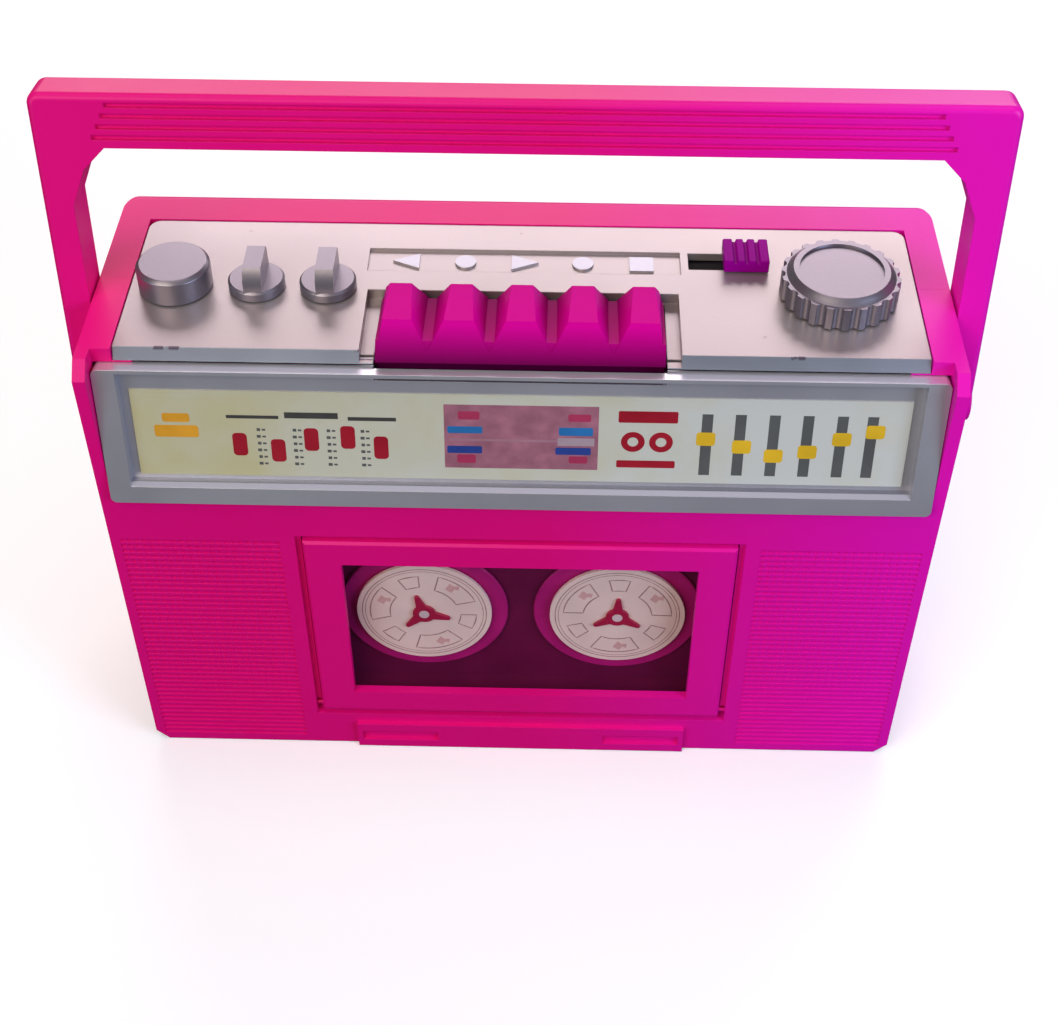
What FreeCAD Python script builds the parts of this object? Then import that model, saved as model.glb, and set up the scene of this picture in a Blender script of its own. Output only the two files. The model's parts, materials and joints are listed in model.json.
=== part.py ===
import FreeCAD, Part
import math
import os

# A child's wind-up toy boombox, sizes in millimetres.
# Sub-parts are laid out with y measured back from the front face, x from the centre line, z from the table.
# Each one is moved at the end so that the origin is the middle of the base.

V = FreeCAD.Vector

# body
BODY_W = 160.0
BODY_D = 56.0
BODY_H = 105.2
HALF = BODY_W / 2.0
WALL = 2.2
CHEEK = 2.4
PARTING = 27.5
SIDE_CHAMFER = 2.6
BACK_CORNER_R = 6.0
RIM_EDGE = 2.6
TOP_WALL = 4.0
FIT = 0.2
RUN = 0.08
GAP = 0.35

# silver top panel
PANEL_HALF = HALF - 6.3
PANEL_Y0 = 7.0
PANEL_Y1 = 46.2
PANEL_DROP = 0.2
PANEL_T = 1.6
PANEL_Z = BODY_H - PANEL_DROP
PANEL_UNDER = PANEL_Z - PANEL_T
SKIRT_RUN = 1.1
SKIRT_DROP = 2.4

# leaning dial bezel
BEZEL_HALF = HALF - 2.6
BEZEL_TALL = 29.1
BEZEL_LEAN = 8.9
BEZEL_Z = BODY_H - 31.4
BEZEL_PROUD = 1.5
BEZEL_RECESS = 2.4
BEZEL_PLATE = 1.0
BEZEL_SIDE = 4.2
BEZEL_FOOT = 4.4
BEZEL_LIP = 0.8
LABEL_HALF = BEZEL_HALF - 5.9
LABEL_TALL = 18.6
LABEL_T = 0.2

# cassette bay and door
DOOR_HALF = 42.4
DOOR_Z0 = 11.1
DOOR_Z1 = BEZEL_Z - 10.9
DOOR_PROUD = 0.6
DOOR_T = 2.7
CHANNEL = 1.4
BAY_DEEP = 2.55
BAY_WALL = 1.8
WINDOW_HALF = 35.2
WINDOW_Z0 = 17.8
WINDOW_Z1 = DOOR_Z1 - 6.1
PANE_T = 0.8
PANE_LAP = 1.2
WELL_HALF = 38.6
WELL_Z0 = 15.4
WELL_Z1 = WINDOW_Z1 + 2.2
DECK_SCREW_Z = (WELL_Z0 + 4.6, WELL_Z0 + 30.4)
DECK_SCREW_X = 43.4
DECK_Y = 7.0
DECK_T = 1.0
HINGE_Y = 1.1
HINGE_Z = DOOR_Z0 + DOOR_T / 2.0
HINGE_R = 0.5
HINGE_GRIP = 1.2
BAR_HALF = 35.4
BAR_TALL = 7.3
BAR_PROUD = 1.0

# reels
REEL_X = 19.95
REEL_Z = (WINDOW_Z0 + WINDOW_Z1) / 2.0 - 0.1
REEL_R = (WINDOW_Z1 - WINDOW_Z0) / 2.0 - 5.55
TAPE_R = REEL_R + 3.0
REEL_Y = 5.0
REEL_T = 0.8
SPIDER_T = 0.6
SPIDER_HUB_R = 2.4
SPIDER_REACH = 5.0
SPIDER_TIP_R = 0.5
SPINDLE_R = 1.5
PULLEY_R = 5.0
PULLEY_Y = 8.7
PULLEY_T = 2.2
BELT_T = 1.0
BELT_W = 1.2

# grilles
GRILLE_X0 = 46.9
GRILLE_X1 = HALF - 2.0
GRILLE_Z0 = 2.2
GRILLE_Z1 = BEZEL_Z - 9.6
GRILLE_PITCH = 1.45
GRILLE_DEEP = 0.6

# keys
KEY_PITCH = 11.2
KEY_COUNT = 5
KEY_TOP_W = 5.4
KEY_BASE_W = 13.4
KEY_TAPER = 0.065
KEY_TOP_Z = PANEL_Z + 4.0
KEY_WEB_Z = PANEL_Z - 0.5
KEY_WEB_FRONT_Z = PANEL_Z + 1.1
KEY_Y0 = 5.7
KEY_Y1 = 24.2
KEY_BLOCK_HALF = (KEY_COUNT - 1) / 2.0 * KEY_PITCH + 3.8
KEY_TRAVEL = 1.8
SPRING_X = 15.0
TRAY_HALF = KEY_BLOCK_HALF + 2.9
TRAY_DEEP = 2.2
TRAY_FLOOR = 1.2

# knobs on the panel
KNOB_ROW_Y = 25.4
VOLUME_X = 8.5 - PANEL_HALF
VOLUME_R = 6.9
BALANCE_X = -TRAY_HALF - 7.4
TONE_X = VOLUME_X + (BALANCE_X - VOLUME_X) * 0.5331
POINTER_R = 5.3
POINTER_W = 3.4
KNOB_TALL = 5.2
FIN_TALL = 6.3
STEM_R = 2.0
WIND_X = PANEL_HALF - 14.8
WIND_R = 11.0
WIND_TALL = 5.8
WIND_FLUTES = 22

# slide switch
SWITCH_X0 = PANEL_HALF - 35.8
SWITCH_W = 8.5
SWITCH_Y0 = 31.7
SWITCH_L = 7.4
SWITCH_TALL = 2.6
SWITCH_TRAVEL = 6.0
SLOT_Y0 = 32.7
SLOT_W = 5.2

# symbols strip
STRIP_HALF = 29.8
STRIP_Y0 = 31.0
STRIP_Y1 = 38.1
STRIP_DEEP = 0.6
SYMBOL_TALL = 0.4

# handle
PIVOT_Y = 21.3
PIVOT_Z = BODY_H - 21.2
HANDLE_LEAN = 8.3
HANDLE_HALF = HALF + 6.0
HANDLE_REACH = 61.0
HANDLE_BAR = 9.9
HANDLE_T = 8.5
ARM_GAP = 0.4
ARM_TAPER_U = 40.0
HANDLE_CORNER_R = 2.2
HANDLE_EDGE_R = 1.3
GRIP_DEEP = 0.8
GRIP_HALF = HALF - 6.6
PIN_R = 2.2
PIN_HEAD_R = 3.2

# wind-up movement
FRAME_TOP = BODY_H - 7.0
FRAME_T = 1.2
BARREL_R = 9.8
BARREL_Z0 = BODY_H - 19.2
BARREL_TALL = 10.4
ARBOR_R = 1.5
DRUM_Z = BODY_H - 29.2
DRUM_R = 6.5
DRUM_Y0 = 18.0
DRUM_Y1 = 38.6
WHEEL_R = 8.6
BRACKET_Y0 = 12.0
BRACKET_Y1 = 42.8
BRACKET_T = 1.2
COMB_T = 1.0
COMB_TEETH = 18
FLY_R = 4.2
WORM_R = 1.6

# case screws
BOSS_X = HALF - 9.0
BOSS_Z_LOW = 12.0
BOSS_Z_HIGH = BEZEL_Z - 11.8
BOSS_R = 3.2
SCREW_R = 1.2

MID_KEY = (KEY_COUNT - 1) / 2.0
BEZEL_SEAT = BEZEL_Z - (BEZEL_RECESS + BEZEL_PLATE) * math.sin(math.radians(BEZEL_LEAN)) - 0.05
FRAME_POSTS = ((WIND_X - 20.3, 15.0), (WIND_X + 8.5, 40.4), (WIND_X - 19.9, 40.95))
SHELF_Z = PANEL_Z - 14.2
COMB_Z = DRUM_Z - 0.8
COMB_SCREW_X = WIND_X - 18.7
COMB_SCREW_Y = (19.0, 37.0)
GOVERNOR_X = WIND_X - WHEEL_R - GAP - WORM_R
GOVERNOR_Y = 40.8
FINGER_X = SWITCH_X0 + 15.1


def box(x0, x1, y0, y1, z0, z1):
    return Part.makeBox(x1 - x0, y1 - y0, z1 - z0, V(x0, y0, z0))


def rod_x(r, x0, x1, y, z):
    return Part.makeCylinder(r, x1 - x0, V(x0, y, z), V(1, 0, 0))


def rod_y(r, x, y0, y1, z):
    return Part.makeCylinder(r, y1 - y0, V(x, y0, z), V(0, 1, 0))


def rod_z(r, x, y, z0, z1):
    return Part.makeCylinder(r, z1 - z0, V(x, y, z0), V(0, 0, 1))


def prism(points, along):
    wire = Part.makePolygon(points + [points[0]])
    return Part.Face(wire).extrude(along)


def both(shape):
    other = shape.mirror(V(0, 0, 0), V(1, 0, 0))
    return [shape, other]


def joined(shapes):
    whole = shapes[0]
    if len(shapes) > 1:
        whole = whole.fuse(shapes[1:])
    return whole.removeSplitter()


def edges_where(shape, test):
    found = []
    for edge in shape.Edges:
        b = edge.BoundBox
        if test(b):
            found.append(edge)
    return found


# the outside of the closed case, one block before it is split
def case_block():
    plan = box(-HALF, HALF, 0, BODY_D, 0, BODY_H)
    upright_back = edges_where(plan, lambda b: b.ZLength > BODY_H - 1 and b.YMin > BODY_D - 1)
    plan = plan.makeFillet(BACK_CORNER_R, upright_back)
    side = box(-HALF - 1, HALF + 1, 0, BODY_D, 0, BODY_H)
    top_back = edges_where(side, lambda b: b.ZMin > BODY_H - 1 and b.YMin > BODY_D - 1)
    side = side.makeFillet(RIM_EDGE, top_back)
    top_front = edges_where(side, lambda b: b.ZMin > BODY_H - 1 and b.YMax < 1)
    side = side.makeChamfer(RIM_EDGE + 0.4, top_front)
    cut = SIDE_CHAMFER
    front = prism(
        [
            V(-HALF + cut, -1, 0),
            V(HALF - cut, -1, 0),
            V(HALF, -1, cut),
            V(HALF, -1, BODY_H),
            V(-HALF, -1, BODY_H),
            V(-HALF, -1, cut),
        ],
        V(0, BODY_D + 2, 0),
    )
    return plan.common(side).common(front)


def case_hollow():
    inside = box(-HALF + CHEEK, HALF - CHEEK, WALL, BODY_D - WALL, WALL + 0.6, BODY_H - TOP_WALL)
    pocket_y0 = PANEL_Y0 - SKIRT_RUN
    pocket = box(-PANEL_HALF - FIT, PANEL_HALF + FIT, pocket_y0, PANEL_Y1 + FIT, PANEL_UNDER, BODY_H + 5)
    ledge_x = PANEL_HALF - 3.4
    through = box(-ledge_x, ledge_x, pocket_y0, PANEL_Y1 - 3.2, BODY_H - TOP_WALL - 1, BODY_H + 5)
    skirt_z = PANEL_Z - SKIRT_DROP - 0.1
    skirt = box(-PANEL_HALF - FIT, PANEL_HALF + FIT, pocket_y0, PANEL_Y0 + 1.8, skirt_z, PANEL_UNDER + 1)
    return inside.fuse([pocket, through, skirt])


def pin_holes():
    holes = []
    for side in both(rod_x(PIN_R, HALF - 8, HALF + 1, PIVOT_Y, PIVOT_Z)):
        holes.append(side)
    return holes


def grille_grooves():
    rows = int((GRILLE_Z1 - GRILLE_Z0) / GRILLE_PITCH)
    cutters = []
    for row in range(rows):
        z = GRILLE_Z0 + row * GRILLE_PITCH
        cutters.append(box(GRILLE_X0, GRILLE_X1, -1, GRILLE_DEEP, z, z + GRILLE_PITCH * 0.5))
    return cutters


def bay_cutters():
    x = DOOR_HALF + CHANNEL
    bay = box(-x, x, -5, BAY_DEEP, DOOR_Z0 - CHANNEL, DOOR_Z1 + CHANNEL * 0.8)
    well = box(-WELL_HALF, WELL_HALF, -5, DECK_Y + 5, WELL_Z0, WELL_Z1)
    return [bay, well]


def front_shell():
    shell = case_block().common(box(-HALF - 1, HALF + 1, -1, PARTING, -1, BODY_H + 1))
    shell = shell.cut(case_hollow())
    clear_x = BEZEL_HALF + FIT
    low = box(-clear_x, clear_x, -1, 7.3, BEZEL_SEAT, BODY_H - TOP_WALL + 1)
    high = box(-clear_x, clear_x, -1, PANEL_Y0 - SKIRT_RUN, BEZEL_Z, BODY_H + 5)
    shell = shell.cut([low, high])
    x = DOOR_HALF + CHANNEL + 1.6
    back = box(-x, x, 1, BAY_DEEP + BAY_WALL, DOOR_Z0 - CHANNEL - 1.6, DOOR_Z1 + CHANNEL + 1.6)
    ring = box(-WELL_HALF - 1.6, WELL_HALF + 1.6, 1, DECK_Y, WELL_Z0 - 1.6, WELL_Z1 + 1.6)
    hinge = box(-x, x, 1, 4.2, WALL, DOOR_Z0)
    shelf = box(-HALF + 1, HALF - 1, 1, 4.6, BEZEL_SEAT - 2, BEZEL_SEAT)
    stay = box(-HALF + 1, HALF - 1, 3.1, 4.6, BEZEL_SEAT - 2, BEZEL_Z + 5)
    bar = box(-BAR_HALF, BAR_HALF, -BAR_PROUD, 1, 0, BAR_TALL)
    pieces = [back, ring, hinge, shelf, stay, bar]
    pieces += both(rod_x(PIN_R + 2.6, HALF - 6, HALF - 1, PIVOT_Y, PIVOT_Z))
    for z in (BOSS_Z_LOW, BOSS_Z_HIGH):
        pieces += both(rod_y(BOSS_R, BOSS_X, 1, PARTING, z))
    for z in DECK_SCREW_Z:
        pieces += both(rod_y(2.4, DECK_SCREW_X, 3, DECK_Y, z))
    shell = joined([shell] + pieces)
    cutters = bay_cutters() + pin_holes()
    reach = DOOR_HALF + CHANNEL + HINGE_GRIP
    cutters.append(rod_x(HINGE_R + 0.02, -reach, reach, HINGE_Y, HINGE_Z))
    for z in (BOSS_Z_LOW, BOSS_Z_HIGH):
        cutters += both(rod_y(SCREW_R, BOSS_X, PARTING - 12, PARTING + 1, z))
    for z in DECK_SCREW_Z:
        cutters += both(rod_y(0.9, DECK_SCREW_X, 3, DECK_Y + 1, z))
    slot = box(17.9, 34.3, -2, -0.2, 2.2, 4.9)
    cutters += both(slot)
    shell = shell.cut(cutters)
    for groove in both(Part.makeCompound(grille_grooves())):
        shell = shell.cut(groove)
    return shell


def rear_shell():
    shell = case_block().common(box(-HALF - 1, HALF + 1, PARTING, BODY_D + 1, -1, BODY_H + 1))
    shell = shell.cut(case_hollow())
    pieces = []
    for z in (BOSS_Z_LOW, BOSS_Z_HIGH):
        pieces += both(rod_y(BOSS_R, BOSS_X, PARTING, BODY_D - 1, z))
    shell = joined([shell] + pieces)
    cutters = []
    for z in (BOSS_Z_LOW, BOSS_Z_HIGH):
        cutters += both(rod_y(SCREW_R, BOSS_X, PARTING - 1, BODY_D + 1, z))
        cutters += both(rod_y(BOSS_R - 0.7, BOSS_X, BODY_D - 3, BODY_D + 1, z))
    return shell.cut(cutters)


def case_screws():
    shapes = []
    for z in (BOSS_Z_LOW, BOSS_Z_HIGH):
        shank = rod_y(SCREW_R, BOSS_X, PARTING - 10, BODY_D - 2, z)
        head = rod_y(BOSS_R - 0.9, BOSS_X, BODY_D - 3, BODY_D - 1.4, z)
        cross = box(BOSS_X - 1.4, BOSS_X + 1.4, BODY_D - 2, BODY_D, z - 0.3, z + 0.3)
        tall = box(BOSS_X - 0.3, BOSS_X + 0.3, BODY_D - 2, BODY_D, z - 1.4, z + 1.4)
        shapes += both(joined([shank, head]).cut([cross, tall]))
    return Part.makeCompound(shapes)


def symbol(kind, x, y, z):
    if kind == "ring":
        return rod_z(2.0, x, y, z, z + SYMBOL_TALL)
    if kind == "square":
        return box(x - 2.3, x + 2.3, y - 2.2, y + 2.2, z, z + SYMBOL_TALL)
    turn = 1 if kind == "right" else -1
    tip = V(x + 2.7 * turn, y, z)
    high = V(x - 2.4 * turn, y + 2.3, z)
    low = V(x - 2.4 * turn, y - 2.3, z)
    return prism([tip, high, low], V(0, 0, SYMBOL_TALL))


def symbols():
    shapes = []
    y = (STRIP_Y0 + STRIP_Y1) / 2.0
    z = PANEL_Z - STRIP_DEEP
    for index, kind in enumerate(("left", "ring", "right", "ring", "square")):
        shapes.append(symbol(kind, (index - MID_KEY) * KEY_PITCH, y, z))
    return shapes


def top_panel():
    plate = box(-PANEL_HALF, PANEL_HALF, PANEL_Y0, PANEL_Y1, PANEL_UNDER, PANEL_Z)
    corner = edges_where(plate, lambda b: b.ZLength > 1 and b.YMin > PANEL_Y1 - 1)
    plate = plate.makeFillet(2.5, corner)
    foot = PANEL_Y0 - SKIRT_RUN
    low = PANEL_Z - SKIRT_DROP
    skirt = prism(
        [
            V(-PANEL_HALF, PANEL_Y0, PANEL_Z),
            V(-PANEL_HALF, foot, low),
            V(-PANEL_HALF, foot + 1.6, low),
            V(-PANEL_HALF, PANEL_Y0 + 1.6, PANEL_Z - 1.0),
            V(-PANEL_HALF, PANEL_Y0 + 1.6, PANEL_Z),
        ],
        V(2 * PANEL_HALF, 0, 0),
    )
    tray_z = PANEL_Z - TRAY_DEEP
    tray = box(-TRAY_HALF - 1.2, TRAY_HALF + 1.2, 8.4, KEY_Y1 + 2, tray_z - TRAY_FLOOR, PANEL_UNDER + 0.5)
    leg = box(TRAY_HALF - 1.5, TRAY_HALF, 10, 22, SHELF_Z + 0.2, tray_z)
    shelf = box(-TRAY_HALF, TRAY_HALF, 10, 22, SHELF_Z, SHELF_Z + 3.2)
    posts = []
    for x, y in FRAME_POSTS:
        posts.append(rod_z(2.0, x, y, FRAME_TOP, PANEL_UNDER + 0.5))
    panel = joined([plate, skirt, tray, shelf] + both(leg) + posts)
    cutters = []
    cutters.append(box(-TRAY_HALF, TRAY_HALF, 0, KEY_Y1 + 0.8, tray_z, PANEL_Z + 1))
    reach = KEY_BLOCK_HALF + GAP
    cutters.append(box(-reach, reach, 0, KEY_Y1 + GAP, tray_z - 5, PANEL_Z + 1))
    cutters.append(box(-STRIP_HALF, STRIP_HALF, STRIP_Y0, STRIP_Y1, PANEL_Z - STRIP_DEEP, PANEL_Z + 1))
    slot_x0 = SWITCH_X0 - SWITCH_TRAVEL - 0.6
    slot_x1 = SWITCH_X0 + SWITCH_W - 0.4
    cutters.append(box(slot_x0, slot_x1, SLOT_Y0, SLOT_Y0 + SLOT_W, PANEL_UNDER - 1, PANEL_Z + 1))
    for x in (VOLUME_X, TONE_X, BALANCE_X, WIND_X):
        cutters.append(rod_z(STEM_R + RUN, x, KNOB_ROW_Y, PANEL_UNDER - 1, PANEL_Z + 1))
    for x, y in FRAME_POSTS:
        cutters.append(rod_z(0.9, x, y, FRAME_TOP - 1, PANEL_UNDER - 0.5))
    cutters += both(box(SPRING_X - 3.2, SPRING_X + 3.2, 13.4, 18.6, SHELF_Z + 0.8, SHELF_Z + 5))
    return joined([panel.cut(cutters)] + symbols())


# stands the bezel up in its own upright frame, then leans it back
def leaned(shape):
    tilted = shape.copy()
    tilted.rotate(V(0, 0, 0), V(1, 0, 0), -BEZEL_LEAN)
    tilted.translate(V(0, -BEZEL_PROUD, BEZEL_Z))
    return tilted


def dial_bezel():
    deep = BEZEL_RECESS + BEZEL_PLATE
    block = box(-BEZEL_HALF, BEZEL_HALF, 0, deep, 0, BEZEL_TALL)
    corners = edges_where(block, lambda b: b.YLength > 1)
    block = block.makeFillet(1.2, corners)
    inner_x = BEZEL_HALF - BEZEL_SIDE
    top = BEZEL_TALL - BEZEL_LIP
    recess = box(-inner_x, inner_x, -1, BEZEL_RECESS, BEZEL_FOOT, top)
    ramp = prism(
        [
            V(-inner_x, -0.01, BEZEL_FOOT - 0.7),
            V(-inner_x, -0.01, BEZEL_FOOT + 0.1),
            V(-inner_x, 1.1, BEZEL_FOOT + 0.1),
        ],
        V(2 * inner_x, 0, 0),
    )
    notch_x = KEY_BLOCK_HALF + GAP
    notch = box(-notch_x, notch_x, 2.3, deep + 1, top - KEY_TRAVEL, BEZEL_TALL + 1)
    return leaned(block.cut([recess, ramp, notch]))


def dial_label():
    z0 = BEZEL_FOOT + 0.9
    y1 = BEZEL_RECESS
    return leaned(box(-LABEL_HALF, LABEL_HALF, y1 - LABEL_T, y1, z0, z0 + LABEL_TALL))


def cassette_door():
    y1 = DOOR_T - DOOR_PROUD
    plate = box(-DOOR_HALF, DOOR_HALF, -DOOR_PROUD, y1, HINGE_Z, DOOR_Z1)
    face = edges_where(plate, lambda b: b.YMax < -DOOR_PROUD + 0.01 and b.ZMax > HINGE_Z + 0.1)
    plate = plate.makeChamfer(0.5, face)
    foot = rod_x(DOOR_T / 2.0, -DOOR_HALF, DOOR_HALF, y1 - DOOR_T / 2.0, HINGE_Z)
    foot = foot.makeChamfer(0.4, foot.Edges[0:1] + foot.Edges[2:3])
    door = joined([plate, foot])
    hole = box(-WINDOW_HALF, WINDOW_HALF, -5, 5, WINDOW_Z0, WINDOW_Z1)
    lap = WINDOW_HALF + PANE_LAP
    seat = box(-lap, lap, y1 - PANE_T, y1 + 1, WINDOW_Z0 - PANE_LAP, WINDOW_Z1 + PANE_LAP)
    bore = rod_x(HINGE_R + RUN, -HALF, HALF, HINGE_Y, HINGE_Z)
    return door.cut([hole, seat, bore])


def door_window():
    lap = WINDOW_HALF + PANE_LAP - 0.1
    y1 = DOOR_T - DOOR_PROUD
    return box(-lap, lap, y1 - PANE_T, y1, WINDOW_Z0 - PANE_LAP + 0.1, WINDOW_Z1 + PANE_LAP - 0.1)


def door_pin():
    reach = DOOR_HALF + CHANNEL + HINGE_GRIP
    return rod_x(HINGE_R, -reach, reach, HINGE_Y, HINGE_Z)


def reel_deck():
    deck = box(-46.5, 46.5, DECK_Y, DECK_Y + DECK_T, WELL_Z0 - 2.9, WELL_Z1 + 2.5)
    rings = []
    for side in both(rod_y(TAPE_R, REEL_X, DECK_Y - 0.4, DECK_Y + 0.1, REEL_Z)):
        rings.append(side)
    deck = joined([deck] + rings)
    cutters = both(rod_y(SPINDLE_R + RUN, REEL_X, 0, 20, REEL_Z))
    for z in DECK_SCREW_Z:
        cutters += both(rod_y(0.9, DECK_SCREW_X, 3, 20, z))
    return deck.cut(cutters)


def deck_screws():
    shapes = []
    for z in DECK_SCREW_Z:
        shank = rod_y(0.9, DECK_SCREW_X, 4, DECK_Y + DECK_T + 0.5, z)
        head = rod_y(1.9, DECK_SCREW_X, DECK_Y + DECK_T, DECK_Y + DECK_T + 1.2, z)
        shapes += both(joined([shank, head]))
    return Part.makeCompound(shapes)


def reel_disc(x):
    disc = rod_y(REEL_R, x, REEL_Y, REEL_Y + REEL_T, REEL_Z)
    return disc.cut(rod_y(SPINDLE_R, x, 0, 20, REEL_Z))


def reel_spider(x, first):
    y0 = REEL_Y - SPIDER_T
    root = SPIDER_HUB_R * 0.62
    shapes = [rod_y(SPIDER_HUB_R, x, y0, REEL_Y, REEL_Z)]
    for turn in range(3):
        taper = prism(
            [
                V(x, y0, REEL_Z - root),
                V(x + SPIDER_REACH, y0, REEL_Z - SPIDER_TIP_R),
                V(x + SPIDER_REACH, y0, REEL_Z + SPIDER_TIP_R),
                V(x, y0, REEL_Z + root),
            ],
            V(0, SPIDER_T, 0),
        )
        arm = taper.fuse(rod_y(SPIDER_TIP_R, x + SPIDER_REACH, y0, REEL_Y, REEL_Z))
        arm.rotate(V(x, 0, REEL_Z), V(0, 1, 0), -first - 120 * turn)
        shapes.append(arm)
    return joined(shapes).cut(rod_y(SPINDLE_R * 0.7, x, 0, 20, REEL_Z))


def reel_spindle(x):
    tip = rod_y(SPINDLE_R * 0.7, x, REEL_Y - SPIDER_T, REEL_Y + 0.2, REEL_Z)
    rod = rod_y(SPINDLE_R, x, REEL_Y, 13.4, REEL_Z)
    pulley = rod_y(PULLEY_R, x, PULLEY_Y, PULLEY_Y + PULLEY_T, REEL_Z)
    return joined([tip, rod, grooved(pulley, x, REEL_Z)])


# cuts the belt groove round a pulley
def grooved(pulley, x, z):
    y = PULLEY_Y + (PULLEY_T - BELT_W) / 2.0 - 0.2
    bore = rod_y(PULLEY_R - BELT_T, x, y, y + BELT_W + 0.4, z)
    ring = rod_y(PULLEY_R + 1, x, y, y + BELT_W + 0.4, z).cut(bore)
    return pulley.cut(ring)


def reel_bracket():
    y0 = 11.9
    plate = box(-32, 32, y0, y0 + 1.2, REEL_Z - 13.2, REEL_Z + 12.8)
    posts = [rod_y(2.0, -28, DECK_Y + DECK_T, y0 + 0.5, REEL_Z - 10.2)]
    posts.append(rod_y(2.0, 28, DECK_Y + DECK_T, y0 + 0.5, REEL_Z - 10.2))
    posts.append(rod_y(2.0, 0, DECK_Y + DECK_T, y0 + 0.5, REEL_Z + 8.8))
    bracket = joined([plate] + posts)
    return bracket.cut(both(rod_y(SPINDLE_R + RUN, REEL_X, 0, 20, REEL_Z)))


# outline of the belt round the three pulleys, grown by r
def belt_face(r):
    stops = [(-REEL_X, REEL_Z), (REEL_X, REEL_Z), (WIND_X, DRUM_Z)]
    y = PULLEY_Y + (PULLEY_T - BELT_W) / 2.0
    loop = []
    for index in range(3):
        ax, az = stops[index]
        bx, bz = stops[(index + 1) % 3]
        long = math.hypot(bx - ax, bz - az)
        nx = (bz - az) / long
        nz = -(bx - ax) / long
        loop.append((V(ax + nx * r, y, az + nz * r), V(bx + nx * r, y, bz + nz * r)))
    edges = []
    for index in range(3):
        start, end = loop[index]
        edges.append(Part.makeLine(start, end))
        cx, cz = stops[(index + 1) % 3]
        after = loop[(index + 1) % 3][0]
        out = V((end.x + after.x) / 2 - cx, 0, (end.z + after.z) / 2 - cz)
        out.normalize()
        middle = V(cx + out.x * r, y, cz + out.z * r)
        edges.append(Part.Arc(end, middle, after).toShape())
    return Part.Face(Part.Wire(edges))


def drive_belt():
    inner = PULLEY_R - BELT_T + 0.1
    outer = belt_face(inner + 0.8).extrude(V(0, BELT_W, 0))
    return outer.cut(belt_face(inner).extrude(V(0, BELT_W, 0)))


def key_shape(x):
    z0 = PANEL_Z - TRAY_DEEP + 0.4
    top_y0 = KEY_Y0 + 5.2
    top_y1 = KEY_Y1 - 2.4
    base = KEY_BASE_W / 2
    base_back = base - KEY_TAPER * (KEY_Y1 - KEY_Y0)
    crown = KEY_TOP_W / 2
    crown_back = crown - KEY_TAPER * (top_y1 - top_y0)
    low = [V(x - base, KEY_Y0, z0), V(x + base, KEY_Y0, z0)]
    low += [V(x + base_back, KEY_Y1, z0), V(x - base_back, KEY_Y1, z0)]
    high = [V(x - crown, top_y0, KEY_TOP_Z), V(x + crown, top_y0, KEY_TOP_Z)]
    high += [V(x + crown_back, top_y1, KEY_TOP_Z), V(x - crown_back, top_y1, KEY_TOP_Z)]
    return Part.makeLoft([Part.makePolygon(low + [low[0]]), Part.makePolygon(high + [high[0]])], True)


def key_block():
    z0 = PANEL_Z - TRAY_DEEP + 0.4
    keys = []
    for index in range(KEY_COUNT):
        keys.append(key_shape((index - MID_KEY) * KEY_PITCH))
    half = KEY_BLOCK_HALF
    top = half - 1.2
    block = prism(
        [V(-half, KEY_Y0, z0), V(-top, KEY_Y0, KEY_TOP_Z), V(top, KEY_Y0, KEY_TOP_Z), V(half, KEY_Y0, z0)],
        V(0, KEY_Y1 - KEY_Y0, 0),
    )
    keys = [key.common(block) for key in keys]
    web = prism(
        [
            V(-half, KEY_Y0, z0),
            V(-half, KEY_Y0 + 2.8, KEY_WEB_FRONT_Z),
            V(-half, KEY_Y1 - 1, KEY_WEB_Z),
            V(-half, KEY_Y1, z0),
        ],
        V(2 * half, 0, 0),
    )
    skirt = box(-half, half, 8.6, KEY_Y1, PANEL_Z - 5.5, z0 + 0.5)
    lip = box(-TRAY_HALF + 2, TRAY_HALF - 2, 10.6, 21.4, PANEL_Z - 6.6, PANEL_Z - 5)
    return joined([web, skirt, lip] + keys)


# two folded leaf springs under the key block
def key_springs():
    top = PANEL_Z - 6.6
    low = SHELF_Z + 3.0
    thick = 0.4
    turns = 3
    drop = (top - low) / (2 * turns - 1)
    shapes = []
    for side in (-1, 1):
        x0 = side * SPRING_X - 2.6
        x1 = side * SPRING_X + 2.6
        pieces = []
        for step in range(2 * turns):
            z = top - step * drop
            pieces.append(box(x0, x1, 15, 17, z - thick, z))
            if step < 2 * turns - 1:
                end = x1 if step % 2 else x0 + thick
                pieces.append(box(end - thick, end, 15, 17, z - drop, z))
        shapes.append(joined(pieces))
    return Part.makeCompound(shapes)


# a knob's stem down through the panel
def stem(x, low):
    return rod_z(STEM_R, x, KNOB_ROW_Y, low, PANEL_Z + 1)


def clip(x):
    top = PANEL_UNDER - 0.3
    ring = rod_z(STEM_R + 1.6, x, KNOB_ROW_Y, top - 0.9, top)
    return ring.cut(rod_z(STEM_R - 0.2, x, KNOB_ROW_Y, top - 2, top + 1))


def clip_groove(x):
    top = PANEL_UNDER - 0.3
    ring = rod_z(STEM_R + 1, x, KNOB_ROW_Y, top - 0.9, top)
    return ring.cut(rod_z(STEM_R - 0.2, x, KNOB_ROW_Y, top - 2, top + 1))


def volume_knob():
    z0 = PANEL_Z + 0.3
    cap = rod_z(VOLUME_R, VOLUME_X, KNOB_ROW_Y, z0, z0 + KNOB_TALL)
    rim = edges_where(cap, lambda b: b.ZMin > z0 + 1 and b.XLength > 5)
    cap = cap.makeChamfer(0.7, rim)
    return joined([cap, stem(VOLUME_X, PANEL_Z - 4.5)]).cut(clip_groove(VOLUME_X))


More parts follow.
